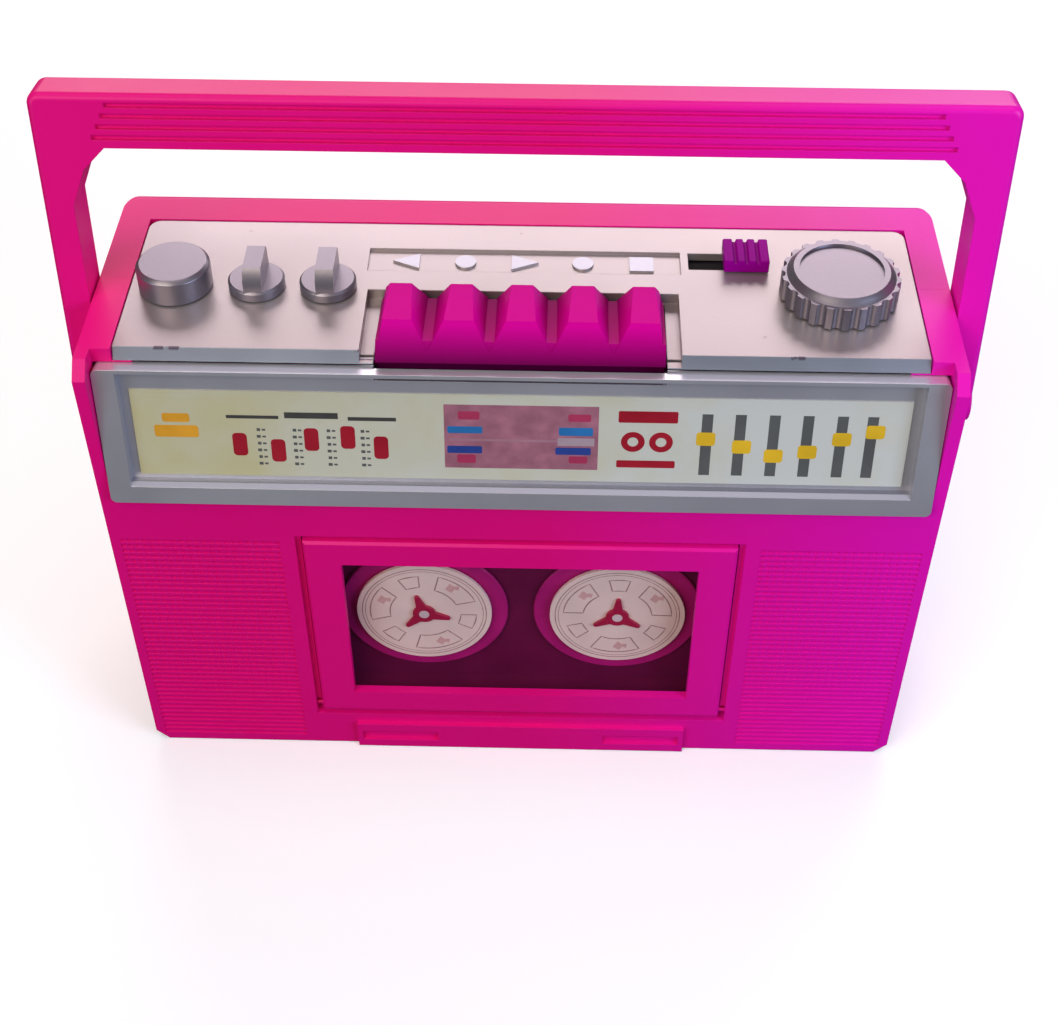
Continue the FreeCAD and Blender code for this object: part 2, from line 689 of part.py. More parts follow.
def pointer_knob(x):
    z0 = PANEL_Z + 0.3
    disc = rod_z(POINTER_R, x, KNOB_ROW_Y, z0, z0 + 1.9)
    rim = edges_where(disc, lambda b: b.ZMin > z0 + 1 and b.XLength > 5)
    disc = disc.makeChamfer(0.4, rim)
    y0 = KNOB_ROW_Y - POINTER_R * 0.94
    y1 = KNOB_ROW_Y + POINTER_R * 0.92
    x0 = x - POINTER_W / 2
    fin = prism(
        [
            V(x0, y0, z0 + 1),
            V(x0, y0 + 0.3, z0 + FIN_TALL - 2.2),
            V(x0, y0 + 1.7, z0 + FIN_TALL),
            V(x0, y1 - 1.2, z0 + FIN_TALL),
            V(x0, y1 - 0.5, z0 + FIN_TALL - 0.8),
            V(x0, y1, z0 + 1),
        ],
        V(POINTER_W, 0, 0),
    )
    return joined([disc, fin, stem(x, PANEL_Z - 4.5)]).cut(clip_groove(x))


def wind_knob():
    z0 = PANEL_Z + 0.3
    z1 = z0 + WIND_TALL
    skirt = rod_z(WIND_R, WIND_X, KNOB_ROW_Y, z0, z1 - 1.2)
    crown = Part.makeCone(WIND_R - 0.9, WIND_R - 2.1, 1.2, V(WIND_X, KNOB_ROW_Y, z1 - 1.2), V(0, 0, 1))
    cutters = []
    for index in range(WIND_FLUTES):
        turn = 2 * math.pi * index / WIND_FLUTES
        x = WIND_X + (WIND_R + 0.35) * math.cos(turn)
        y = KNOB_ROW_Y + (WIND_R + 0.35) * math.sin(turn)
        cutters.append(rod_z(1.05, x, y, z0 - 1, z1 - 1.2))
    skirt = skirt.cut(cutters)
    dish = rod_z(WIND_R - 3.2, WIND_X, KNOB_ROW_Y, z1 - 0.5, z1 + 1)
    bore = rod_z(ARBOR_R, WIND_X, KNOB_ROW_Y, z0 - 1, z0 + 3)
    return joined([skirt, crown]).cut([dish, bore])


def winding_arbor():
    thin = rod_z(ARBOR_R, WIND_X, KNOB_ROW_Y, BARREL_Z0 - 1.6, PANEL_Z + 3.3)
    bush = rod_z(STEM_R, WIND_X, KNOB_ROW_Y, PANEL_UNDER - 1.2, PANEL_Z + 0.3)
    return joined([thin, bush])


def switch_knob():
    z0 = PANEL_Z + 0.25
    x1 = SWITCH_X0 + SWITCH_W
    y1 = SWITCH_Y0 + SWITCH_L
    cap = box(SWITCH_X0, x1, SWITCH_Y0, y1, z0, z0 + SWITCH_TALL)
    grooves = []
    step = SWITCH_W / 4.0
    for index in range(3):
        x = SWITCH_X0 + step * (index + 1)
        grooves.append(box(x - 0.35, x + 0.35, SWITCH_Y0 - 1, y1 + 1, z0 + SWITCH_TALL - 0.7, z0 + 9))
    cap = cap.cut(grooves)
    neck = box(SWITCH_X0 + 1.2, x1 - 0.8, SLOT_Y0 + GAP, SLOT_Y0 + SLOT_W - GAP, PANEL_UNDER - 0.35, z0 + 1)
    return joined([cap, neck])


def switch_slider():
    top = PANEL_UNDER - 0.35
    x0 = SWITCH_X0 - SWITCH_TRAVEL - 0.9
    plate = box(x0, FINGER_X + 2, SLOT_Y0 - 0.9, SLOT_Y0 + SLOT_W + 0.9, top - 0.8, top)
    finger = box(FINGER_X, FINGER_X + 2, 35, 36.2, DRUM_Z + 13, top - 0.4)
    return joined([plate, finger])


def movement_frame():
    low = FRAME_TOP - FRAME_T
    foot = DRUM_Z - 6
    plate = box(WIND_X - 23.9, WIND_X + 15.1, 11, 46, low, FRAME_TOP)
    pieces = [plate]
    for y in (BRACKET_Y0, BRACKET_Y1):
        pieces.append(box(WIND_X - 6, WIND_X + 6, y, y + BRACKET_T, foot, low + 0.5))
        pieces.append(box(WIND_X - 22.4, WIND_X, y, y + BRACKET_T, foot, COMB_Z))
    pieces.append(box(WIND_X - 22.4, WIND_X - 14.9, BRACKET_Y0, BRACKET_Y1 + BRACKET_T, foot + 2, COMB_Z))
    pieces.append(box(GOVERNOR_X - 2, GOVERNOR_X + 2, 39, BRACKET_Y1 + 0.5, foot, foot + 2))
    frame = joined(pieces)
    cutters = []
    for x, y in FRAME_POSTS:
        cutters.append(rod_z(0.9, x, y, low - 1, FRAME_TOP + 1))
    cutters.append(rod_z(ARBOR_R + RUN, WIND_X, KNOB_ROW_Y, low - 1, FRAME_TOP + 1))
    cutters.append(box(FINGER_X - SWITCH_TRAVEL - 1.2, FINGER_X + 3.2, 34.3, 36.9, low - 1, FRAME_TOP + 1))
    cutters.append(rod_y(ARBOR_R + RUN, WIND_X, 5, 50, DRUM_Z))
    cutters.append(rod_z(0.8 + RUN, GOVERNOR_X, GOVERNOR_Y, foot + 0.6, FRAME_TOP + 1))
    for y in COMB_SCREW_Y:
        cutters.append(rod_z(0.9, COMB_SCREW_X, y, foot + 2.8, DRUM_Z))
    return frame.cut(cutters)


def movement_screws():
    shapes = []
    low = FRAME_TOP - FRAME_T
    for x, y in FRAME_POSTS:
        shank = rod_z(0.9, x, y, low - 0.5, FRAME_TOP + 3)
        head = rod_z(1.9, x, y, low - 1.2, low)
        shapes.append(joined([shank, head]))
    return Part.makeCompound(shapes)


def spring_barrel():
    drum = rod_z(BARREL_R, WIND_X, KNOB_ROW_Y, BARREL_Z0, BARREL_Z0 + BARREL_TALL)
    rim = rod_z(BARREL_R + 0.5, WIND_X, KNOB_ROW_Y, BARREL_Z0, BARREL_Z0 + 1.4)
    teeth = []
    for index in range(40):
        root = WIND_X + BARREL_R
        tooth = box(root - 1, root + 1.1, -0.35, 0.35, BARREL_Z0 - 0.8, BARREL_Z0 + 0.2)
        tooth.translate(V(0, KNOB_ROW_Y, 0))
        tooth.rotate(V(WIND_X, KNOB_ROW_Y, 0), V(0, 0, 1), 9 * index)
        teeth.append(tooth)
    sleeve = rod_z(BARREL_R + 0.5, WIND_X, KNOB_ROW_Y, BARREL_Z0 - 6, BARREL_Z0 + 13)
    teeth = Part.makeCompound(teeth).common(sleeve)
    barrel = joined([drum, rim, teeth])
    return barrel.cut(rod_z(ARBOR_R + RUN, WIND_X, KNOB_ROW_Y, BARREL_Z0 - 6, BARREL_Z0 + 14))


def music_drum():
    core = rod_y(DRUM_R, WIND_X, DRUM_Y0, DRUM_Y1, DRUM_Z)
    pins = []
    rows = COMB_TEETH
    pitch = (DRUM_Y1 - DRUM_Y0 - 1.6) / (rows - 1)
    for row in range(rows):
        for step in range(3):
            turn = 37.0 * row + 120.0 * step + 11.0 * (row % 4)
            centre = V(WIND_X, DRUM_Y0 + 0.8 + row * pitch, DRUM_Z)
            pin = Part.makeCylinder(0.22, DRUM_R + 0.3, centre, V(1, 0, 0))
            pin.rotate(V(WIND_X, 0, DRUM_Z), V(0, 1, 0), turn)
            pins.append(pin)
    return joined([core] + pins).cut(rod_y(ARBOR_R, WIND_X, 5, 50, DRUM_Z))


def wheel(radius, count, y0, y1):
    disc = rod_y(radius - 0.7, WIND_X, y0, y1, DRUM_Z)
    teeth = []
    for index in range(count):
        tooth = box(WIND_X + radius - 1.4, WIND_X + radius, y0, y1, DRUM_Z - 0.35, DRUM_Z + 0.35)
        tooth.rotate(V(WIND_X, 0, DRUM_Z), V(0, 1, 0), 360.0 * index / count)
        teeth.append(tooth)
    return joined([disc] + teeth).cut(rod_y(ARBOR_R, WIND_X, 5, 50, DRUM_Z))


def drum_arbor():
    rod = rod_y(ARBOR_R, WIND_X, PULLEY_Y, BRACKET_Y1 + 2, DRUM_Z)
    pulley = rod_y(PULLEY_R, WIND_X, PULLEY_Y, PULLEY_Y + PULLEY_T, DRUM_Z)
    return joined([rod, grooved(pulley, WIND_X, DRUM_Z)])


def crown_pinion():
    return wheel(WHEEL_R, 36, 14.0, 16.4)


def worm_wheel():
    return wheel(WHEEL_R, 36, 40.0, 41.6)


def comb():
    z0 = COMB_Z
    bed = box(WIND_X - 21.7, WIND_X - 15.3, 16.4, 40.2, z0, z0 + COMB_T)
    tip = WIND_X - DRUM_R - 0.3 - GAP
    pitch = (DRUM_Y1 - DRUM_Y0 - 1.6) / (COMB_TEETH - 1)
    pieces = [bed]
    for row in range(COMB_TEETH):
        y = DRUM_Y0 + 0.8 + row * pitch
        pieces.append(box(WIND_X - 15.9, tip, y - 0.4, y + 0.4, z0 + 0.2, z0 + COMB_T - 0.1))
    plate = joined(pieces)
    holes = []
    for y in COMB_SCREW_Y:
        holes.append(rod_z(0.9, COMB_SCREW_X, y, z0 - 1, z0 + 3))
    return plate.cut(holes)


def comb_screws():
    shapes = []
    top = COMB_Z + COMB_T
    for y in COMB_SCREW_Y:
        shank = rod_z(0.9, COMB_SCREW_X, y, COMB_Z - 2.2, top + 0.5)
        head = rod_z(1.8, COMB_SCREW_X, y, top, top + 1.1)
        shapes.append(joined([shank, head]))
    return Part.makeCompound(shapes)


def governor():
    x = GOVERNOR_X
    y = GOVERNOR_Y
    rod = rod_z(0.8, x, y, DRUM_Z - 5.1, FRAME_TOP + 0.6)
    worm = rod_z(WORM_R, x, y, DRUM_Z - 3.4, DRUM_Z + 4)
    rings = []
    for index in range(4):
        z = DRUM_Z - 2.4 + 1.5 * index
        rings.append(rod_z(WORM_R + 1, x, y, z, z + 0.6))
    groove = Part.makeCompound(rings).cut(rod_z(WORM_R - 0.5, x, y, DRUM_Z - 6, DRUM_Z + 6))
    worm = worm.cut(groove)
    hub = rod_z(1.8, x, y, DRUM_Z + 13, DRUM_Z + 17.4)
    blade = box(x - FLY_R, x + FLY_R, y - 0.3, y + 0.3, DRUM_Z + 13.4, DRUM_Z + 17)
    return joined([rod, worm, hub, blade])


# the carrying handle, drawn upright with its pivots at the origin, then leaned back
def handle():
    inner = HALF + ARM_GAP
    half_t = HANDLE_T / 2.0
    top = HANDLE_REACH
    under = HANDLE_REACH - HANDLE_BAR
    outline = prism(
        [
            V(-HANDLE_HALF, -half_t, 0),
            V(HANDLE_HALF, -half_t, 0),
            V(HANDLE_HALF, -half_t, top),
            V(-HANDLE_HALF, -half_t, top),
        ],
        V(0, HANDLE_T, 0),
    )
    corners = edges_where(outline, lambda b: b.YLength > 1 and b.ZMin > top - 1)
    outline = outline.makeFillet(HANDLE_CORNER_R, corners)
    rim = edges_where(outline, lambda b: b.YLength < 0.01 and b.ZMax > 1)
    outline = outline.makeFillet(HANDLE_EDGE_R, rim)
    gap = prism(
        [
            V(-inner, -half_t - 1, -1),
            V(inner, -half_t - 1, -1),
            V(inner, -half_t - 1, ARM_TAPER_U),
            V(GRIP_HALF + 4.2, -half_t - 1, under - 4.2),
            V(GRIP_HALF, -half_t - 1, under),
            V(-GRIP_HALF, -half_t - 1, under),
            V(-GRIP_HALF - 4.2, -half_t - 1, under - 4.2),
            V(-inner, -half_t - 1, ARM_TAPER_U),
        ],
        V(0, HANDLE_T + 2, 0),
    )
    frame = outline.cut(gap)
    for round_end in both(rod_x(half_t, inner, HANDLE_HALF, 0, 0)):
        frame = frame.fuse(round_end)
    frame = frame.removeSplitter()
    cutters = both(rod_x(PIN_R + RUN, inner - 1, HANDLE_HALF + 1, 0, 0))
    cutters += both(rod_x(PIN_HEAD_R + RUN, HANDLE_HALF - 2, HANDLE_HALF + 1, 0, 0))
    for index in range(4):
        z = under + 1.5 + index * 2.0
        end = GRIP_HALF + 2 - index
        cutters.append(box(-end, end, -half_t - 1, -half_t + GRIP_DEEP, z, z + 0.9))
    frame = frame.cut(cutters)
    frame.rotate(V(0, 0, 0), V(1, 0, 0), -HANDLE_LEAN)
    frame.translate(V(0, PIVOT_Y, PIVOT_Z))
    return frame


def handle_pins():
    shank = rod_x(PIN_R, HALF - 7, HANDLE_HALF - 1.5, PIVOT_Y, PIVOT_Z)
    head = rod_x(PIN_HEAD_R, HANDLE_HALF - 1.7, HANDLE_HALF - 0.2, PIVOT_Y, PIVOT_Z)
    return Part.makeCompound(both(joined([shank, head])))


def write(name, shape):
    placed = shape.copy()
    placed.translate(V(0, -BODY_D / 2.0, 0))
    placed.exportStep("parts/" + name + ".step")


os.makedirs("parts", exist_ok=True)
write("front_shell", front_shell())
write("rear_shell", rear_shell())
write("case_screws", case_screws())
write("top_panel", top_panel())
write("dial_bezel", dial_bezel())
write("dial_label", dial_label())
write("cassette_door", cassette_door())
write("door_window", door_window())
write("door_pin", door_pin())
write("reel_deck", reel_deck())
write("deck_screws", deck_screws())
write("left_reel", reel_disc(-REEL_X))
write("right_reel", reel_disc(REEL_X))
write("left_spider", reel_spider(-REEL_X, 106))
write("right_spider", reel_spider(REEL_X, 89))
write("left_spindle", reel_spindle(-REEL_X))
write("right_spindle", reel_spindle(REEL_X))
write("reel_bracket", reel_bracket())
write("drive_belt", drive_belt())
write("key_block", key_block())
write("key_springs", key_springs())
write("volume_knob", volume_knob())
write("tone_knob", pointer_knob(TONE_X))
write("balance_knob", pointer_knob(BALANCE_X))
write("volume_clip", clip(VOLUME_X))
write("tone_clip", clip(TONE_X))
write("balance_clip", clip(BALANCE_X))
write("wind_knob", wind_knob())
write("winding_arbor", winding_arbor())
write("switch_knob", switch_knob())
write("switch_slider", switch_slider())
write("movement_frame", movement_frame())
write("movement_screws", movement_screws())
write("spring_barrel", spring_barrel())
write("music_drum", music_drum())
write("drum_arbor", drum_arbor())
write("crown_pinion", crown_pinion())
write("worm_wheel", worm_wheel())
write("comb", comb())
write("comb_screws", comb_screws())
write("governor", governor())
write("handle", handle())
write("handle_pins", handle_pins())
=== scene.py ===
import json
import math

import bmesh
import bpy
from mathutils import Matrix, Vector

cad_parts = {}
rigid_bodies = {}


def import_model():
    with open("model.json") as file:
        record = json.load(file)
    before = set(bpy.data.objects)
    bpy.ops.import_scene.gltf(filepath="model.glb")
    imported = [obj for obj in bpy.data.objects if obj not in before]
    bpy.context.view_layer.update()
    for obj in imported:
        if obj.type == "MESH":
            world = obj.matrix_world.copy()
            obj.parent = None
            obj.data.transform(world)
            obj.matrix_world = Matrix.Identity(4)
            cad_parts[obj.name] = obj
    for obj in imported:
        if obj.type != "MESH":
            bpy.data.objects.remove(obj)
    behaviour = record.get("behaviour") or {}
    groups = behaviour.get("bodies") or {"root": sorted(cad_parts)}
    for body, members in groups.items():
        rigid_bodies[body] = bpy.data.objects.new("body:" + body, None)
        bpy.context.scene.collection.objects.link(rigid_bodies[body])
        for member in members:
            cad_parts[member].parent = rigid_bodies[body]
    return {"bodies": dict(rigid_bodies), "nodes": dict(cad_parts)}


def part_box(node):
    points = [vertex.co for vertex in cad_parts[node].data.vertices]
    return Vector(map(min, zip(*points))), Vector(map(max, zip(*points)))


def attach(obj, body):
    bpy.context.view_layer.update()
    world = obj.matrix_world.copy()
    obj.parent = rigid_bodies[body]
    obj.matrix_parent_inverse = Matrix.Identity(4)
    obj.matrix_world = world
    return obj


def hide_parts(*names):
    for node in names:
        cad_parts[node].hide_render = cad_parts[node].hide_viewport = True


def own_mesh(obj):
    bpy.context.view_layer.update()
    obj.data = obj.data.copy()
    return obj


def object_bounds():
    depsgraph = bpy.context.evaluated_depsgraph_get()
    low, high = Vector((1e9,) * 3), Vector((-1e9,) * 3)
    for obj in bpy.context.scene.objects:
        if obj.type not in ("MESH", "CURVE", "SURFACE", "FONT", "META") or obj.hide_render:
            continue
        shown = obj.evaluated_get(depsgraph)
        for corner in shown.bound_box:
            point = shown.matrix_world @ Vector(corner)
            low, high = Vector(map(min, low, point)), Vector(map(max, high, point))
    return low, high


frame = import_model()
bounds_at_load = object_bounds()

MM = 0.001
BODY_OF = {
    node: body
    for body, owner in frame["bodies"].items()
    for node, obj in frame["nodes"].items()
    if obj.parent == owner
}

# places on the object, in metres
CASE_FRONT_Y = -0.028
PANEL_EDGE_Y = -0.0210
CHIP_CORE = 0.0001
CHIP_REACH = 0.00045
# painted shade: the keys darken from the upper of these heights down to the lower
KEY_PAINTED_SHADE_Z = 0.1029
KEY_LIT_Z = 0.1084
# painted bluish light: the pink turns bluer between these two places across the object
COOL_LIGHT_START_X = 0.005
COOL_LIGHT_FULL_X = 0.075
# the label paper runs from yellower on the left to paler on the right between these
YELLOW_FULL_X = -0.072
PALE_FULL_X = 0.045
BEZEL_LEAN = math.radians(8.9)
SOFT_EDGE = 0.00022

# moulded and printed colours, with the painted bluish light of the pink and the painted shade of the keys
PINK_A = (0.83, 0.003, 0.20, 1.0)
PINK_B = (0.87, 0.004, 0.22, 1.0)
# painted bluish light: the bluer pink mixed in towards the right
PINK_PAINTED_COOL_LIGHT = (0.88, 0.006, 0.46, 1.0)
# painted shade: the keys' colour at their foot, and their colour where lit
KEY_PAINTED_SHADE = (0.10, 0.0004, 0.045, 1.0)
KEY_LIT = (0.66, 0.0005, 0.28, 1.0)
SILVER_A = (0.56, 0.54, 0.58, 1.0)
SILVER_B = (0.64, 0.62, 0.66, 1.0)
CHIPPED = (0.14, 0.11, 0.15, 1.0)
SPECK = (0.30, 0.25, 0.24, 1.0)
PAPER_PALE = (0.62, 0.61, 0.56, 1.0)
PAPER_YELLOW = (0.56, 0.50, 0.28, 1.0)


def add_object(name, data):
    obj = bpy.data.objects.new(name, data)
    bpy.context.scene.collection.objects.link(obj)
    return obj


def add_mesh(name, verts, faces, material=None):
    mesh = bpy.data.meshes.new(name)
    mesh.from_pydata(verts, [], faces)
    if material:
        mesh.materials.append(material)
    mesh.update()
    return add_object(name, mesh)


# ---------------------------------------------------------------- materials


class Nodes:
    """A small helper for building a node tree."""

    def __init__(self, name):
        self.mat = bpy.data.materials.new(name)
        self.mat.use_nodes = True
        self.tree = self.mat.node_tree
        self.bsdf = self.tree.nodes["Principled BSDF"]
        self.coord = None

    def add(self, kind, **values):
        node = self.tree.nodes.new(kind)
        for key, value in values.items():
            setattr(node, key, value)
        return node

    def link(self, a, b):
        self.tree.links.new(a, b)

    def put(self, name, value):
        self.bsdf.inputs[name].default_value = value

    def place(self):
        if self.coord is None:
            self.coord = self.add("ShaderNodeTexCoord")
        return self.coord.outputs["Object"]

    def noise(self, scale, detail=3.0, rough=0.5, stretch=None):
        tex = self.add("ShaderNodeTexNoise")
        tex.inputs["Scale"].default_value = scale
        tex.inputs["Detail"].default_value = detail
        tex.inputs["Roughness"].default_value = rough
        source = self.place()
        if stretch:
            mapping = self.add("ShaderNodeMapping")
            mapping.inputs["Scale"].default_value = stretch
            self.link(source, mapping.inputs["Vector"])
            source = mapping.outputs["Vector"]
        self.link(source, tex.inputs["Vector"])
        return tex.outputs["Fac"]

    def ramp(self, source, lo, hi, a, b):
        node = self.add("ShaderNodeMapRange")
        node.inputs["From Min"].default_value = lo
        node.inputs["From Max"].default_value = hi
        node.inputs["To Min"].default_value = a
        node.inputs["To Max"].default_value = b
        self.link(source, node.inputs["Value"])
        return node.outputs["Result"]

    def math(self, op, a, b):
        node = self.add("ShaderNodeMath", operation=op)
        for socket, value in zip(node.inputs, (a, b)):
            if isinstance(value, (int, float)):
                socket.default_value = value
            else:
                self.link(value, socket)
        return node.outputs[0]

    def axis(self, which):
        node = self.add("ShaderNodeSeparateXYZ")
        self.link(self.place(), node.inputs[0])
        return node.outputs[which]

    def mix(self, factor, a, b):
        node = self.add("ShaderNodeMix", data_type="RGBA")
        if isinstance(factor, (int, float)):
            node.inputs[0].default_value = factor
        else:
            self.link(factor, node.inputs[0])
        for socket, value in ((node.inputs[6], a), (node.inputs[7], b)):
            if isinstance(value, (tuple, list)):
                socket.default_value = value
            else:
                self.link(value, socket)
        return node.outputs[2]

    def bump(self, height, strength, distance, soften=False):
        node = self.add("ShaderNodeBump")
        if soften:
            edge = self.add("ShaderNodeBevel", samples=4)
            edge.inputs["Radius"].default_value = SOFT_EDGE
            self.link(edge.outputs["Normal"], node.inputs["Normal"])
        node.inputs["Strength"].default_value = strength
        node.inputs["Distance"].default_value = distance
        self.link(height, node.inputs["Height"])
        self.link(node.outputs["Normal"], self.bsdf.inputs["Normal"])

    def to(self, source, name):
        self.link(source, self.bsdf.inputs[name])


def pink(name, soften=False):
    """Hot-pink moulding with painted bluish light that turns it bluer to the right; soften rounds the
    shading of sharp edges.
    """
    m = Nodes(name)
    cloud = m.noise(22.0, 3.0)
    fine = m.noise(900.0, 2.0)
    tone = m.ramp(cloud, 0.3, 0.7, 0.0, 1.0)
    # painted light: the pink is mixed bluer to the right, for the bluish light from that side
    painted_bluish_light = m.ramp(m.axis(0), COOL_LIGHT_START_X, COOL_LIGHT_FULL_X, 0.0, 1.0)
    m.to(m.mix(painted_bluish_light, m.mix(tone, PINK_A, PINK_B), PINK_PAINTED_COOL_LIGHT), "Base Color")
    m.to(m.ramp(cloud, 0.3, 0.7, 0.30, 0.40), "Roughness")
    m.put("Specular IOR Level", 0.17)
    m.bump(fine, 0.12, 0.00006, soften)
    return m.mat


def keys():
    """The piano keys' pink, with painted shade that darkens it towards the foot."""
    m = Nodes("pink_keys_painted_shade")
    # painted shade: the base colour darkens as the height falls towards the foot of the keys
    height = m.ramp(m.axis(2), KEY_PAINTED_SHADE_Z, KEY_LIT_Z, 0.0, 1.0)
    m.to(m.mix(height, KEY_PAINTED_SHADE, KEY_LIT), "Base Color")
    m.to(m.ramp(m.noise(60.0), 0.3, 0.7, 0.38, 0.46), "Roughness")
    m.put("Specular IOR Level", 0.02)
    m.bump(m.noise(900.0, 2.0), 0.1, 0.00006)
    return m.mat


def silver(name, worn=False, bright=1.0, tint=(1.0, 1.0, 1.0), metal=0.62, rough=0.35):
    """Vacuum-silvered plastic; worn adds chips along the panel's front edge and small specks; bright and
    tint make the lighter, darker and tinted copies that carry painted highlight, painted shade and painted
    reflection.
    """
    m = Nodes(name)
    cloud = m.noise(35.0, 4.0)
    fine = m.noise(1400.0, 2.0)
    tone = m.ramp(cloud, 0.3, 0.7, 0.0, 1.0)
    low = (*[c * bright * t for c, t in zip(SILVER_A, tint)], 1.0)
    high = (*[c * bright * t for c, t in zip(SILVER_B, tint)], 1.0)
    colour = m.mix(tone, low, high)
    m.put("Metallic", metal)
    if worn:
        edge = m.math("ABSOLUTE", m.math("ADD", m.axis(1), -PANEL_EDGE_Y), 0.0)
        band = m.ramp(edge, CHIP_CORE, CHIP_REACH, 1.0, 0.0)
        patch = m.ramp(m.noise(75.0, 5.0, 0.7, (1.0, 0.4, 0.4)), 0.57, 0.62, 0.0, 1.0)
        chip = m.math("MULTIPLY", band, patch)
        colour = m.mix(m.ramp(chip, 0.45, 0.85, 0.0, 1.0), colour, CHIPPED)
        speck = m.ramp(m.noise(420.0, 2.0, 0.5), 0.74, 0.78, 0.0, 0.6)
        colour = m.mix(speck, colour, SPECK)
    m.to(colour, "Base Color")
    m.to(m.ramp(cloud, 0.3, 0.7, rough * 0.86, rough * 1.14), "Roughness")
    m.bump(fine, 0.2, 0.00006, worn)
    return m.mat


def paper():
    """Cream label paper, yellower towards the left."""
    m = Nodes("dial_paper")
    # the paper's colour is graded yellower towards the left, with a cloud of random tone
    across = m.ramp(m.axis(0), YELLOW_FULL_X, PALE_FULL_X, 0.95, 0.0)
    cloud = m.ramp(m.noise(55.0, 5.0, 0.6), 0.35, 0.65, -0.24, 0.24)
    yellow_share = m.math("ADD", across, cloud)
    m.to(m.mix(m.ramp(yellow_share, 0.0, 1.0, 0.0, 1.0), PAPER_PALE, PAPER_YELLOW), "Base Color")
    m.put("Roughness", 0.42)
    m.put("Specular IOR Level", 0.4)
    m.bump(m.noise(700.0, 2.0), 0.08, 0.00004)
    return m.mat


def plain(name, colour, rough, metallic=0.0, spread=0.12, spec=0.5, scale=120.0):
    """One colour that varies by spread, with a fine grain."""
    m = Nodes(name)
    cloud = m.noise(scale, 3.0)
    dark = (*[c * (1.0 - spread) for c in colour[:3]], 1.0)
    light = (*[min(1.0, c * (1.0 + spread)) for c in colour[:3]], 1.0)
    m.to(m.mix(m.ramp(cloud, 0.3, 0.7, 0.0, 1.0), dark, light), "Base Color")
    m.to(m.ramp(cloud, 0.3, 0.7, rough * 0.9, rough * 1.1), "Roughness")
    m.put("Metallic", metallic)
    m.put("Specular IOR Level", spec)
    m.bump(m.noise(scale * 8, 2.0), 0.08, 0.00004)
    return m.mat


def glass():
    """The clear window, faintly tinted."""
    m = Nodes("window_pane")
    cloud = m.noise(60.0, 3.0)
    m.put("Base Color", (0.12, 0.02, 0.08, 1.0))
    m.to(m.ramp(cloud, 0.3, 0.7, 0.05, 0.10), "Roughness")
    m.put("Alpha", 0.05)
    m.put("Specular IOR Level", 0.25)
    return m.mat


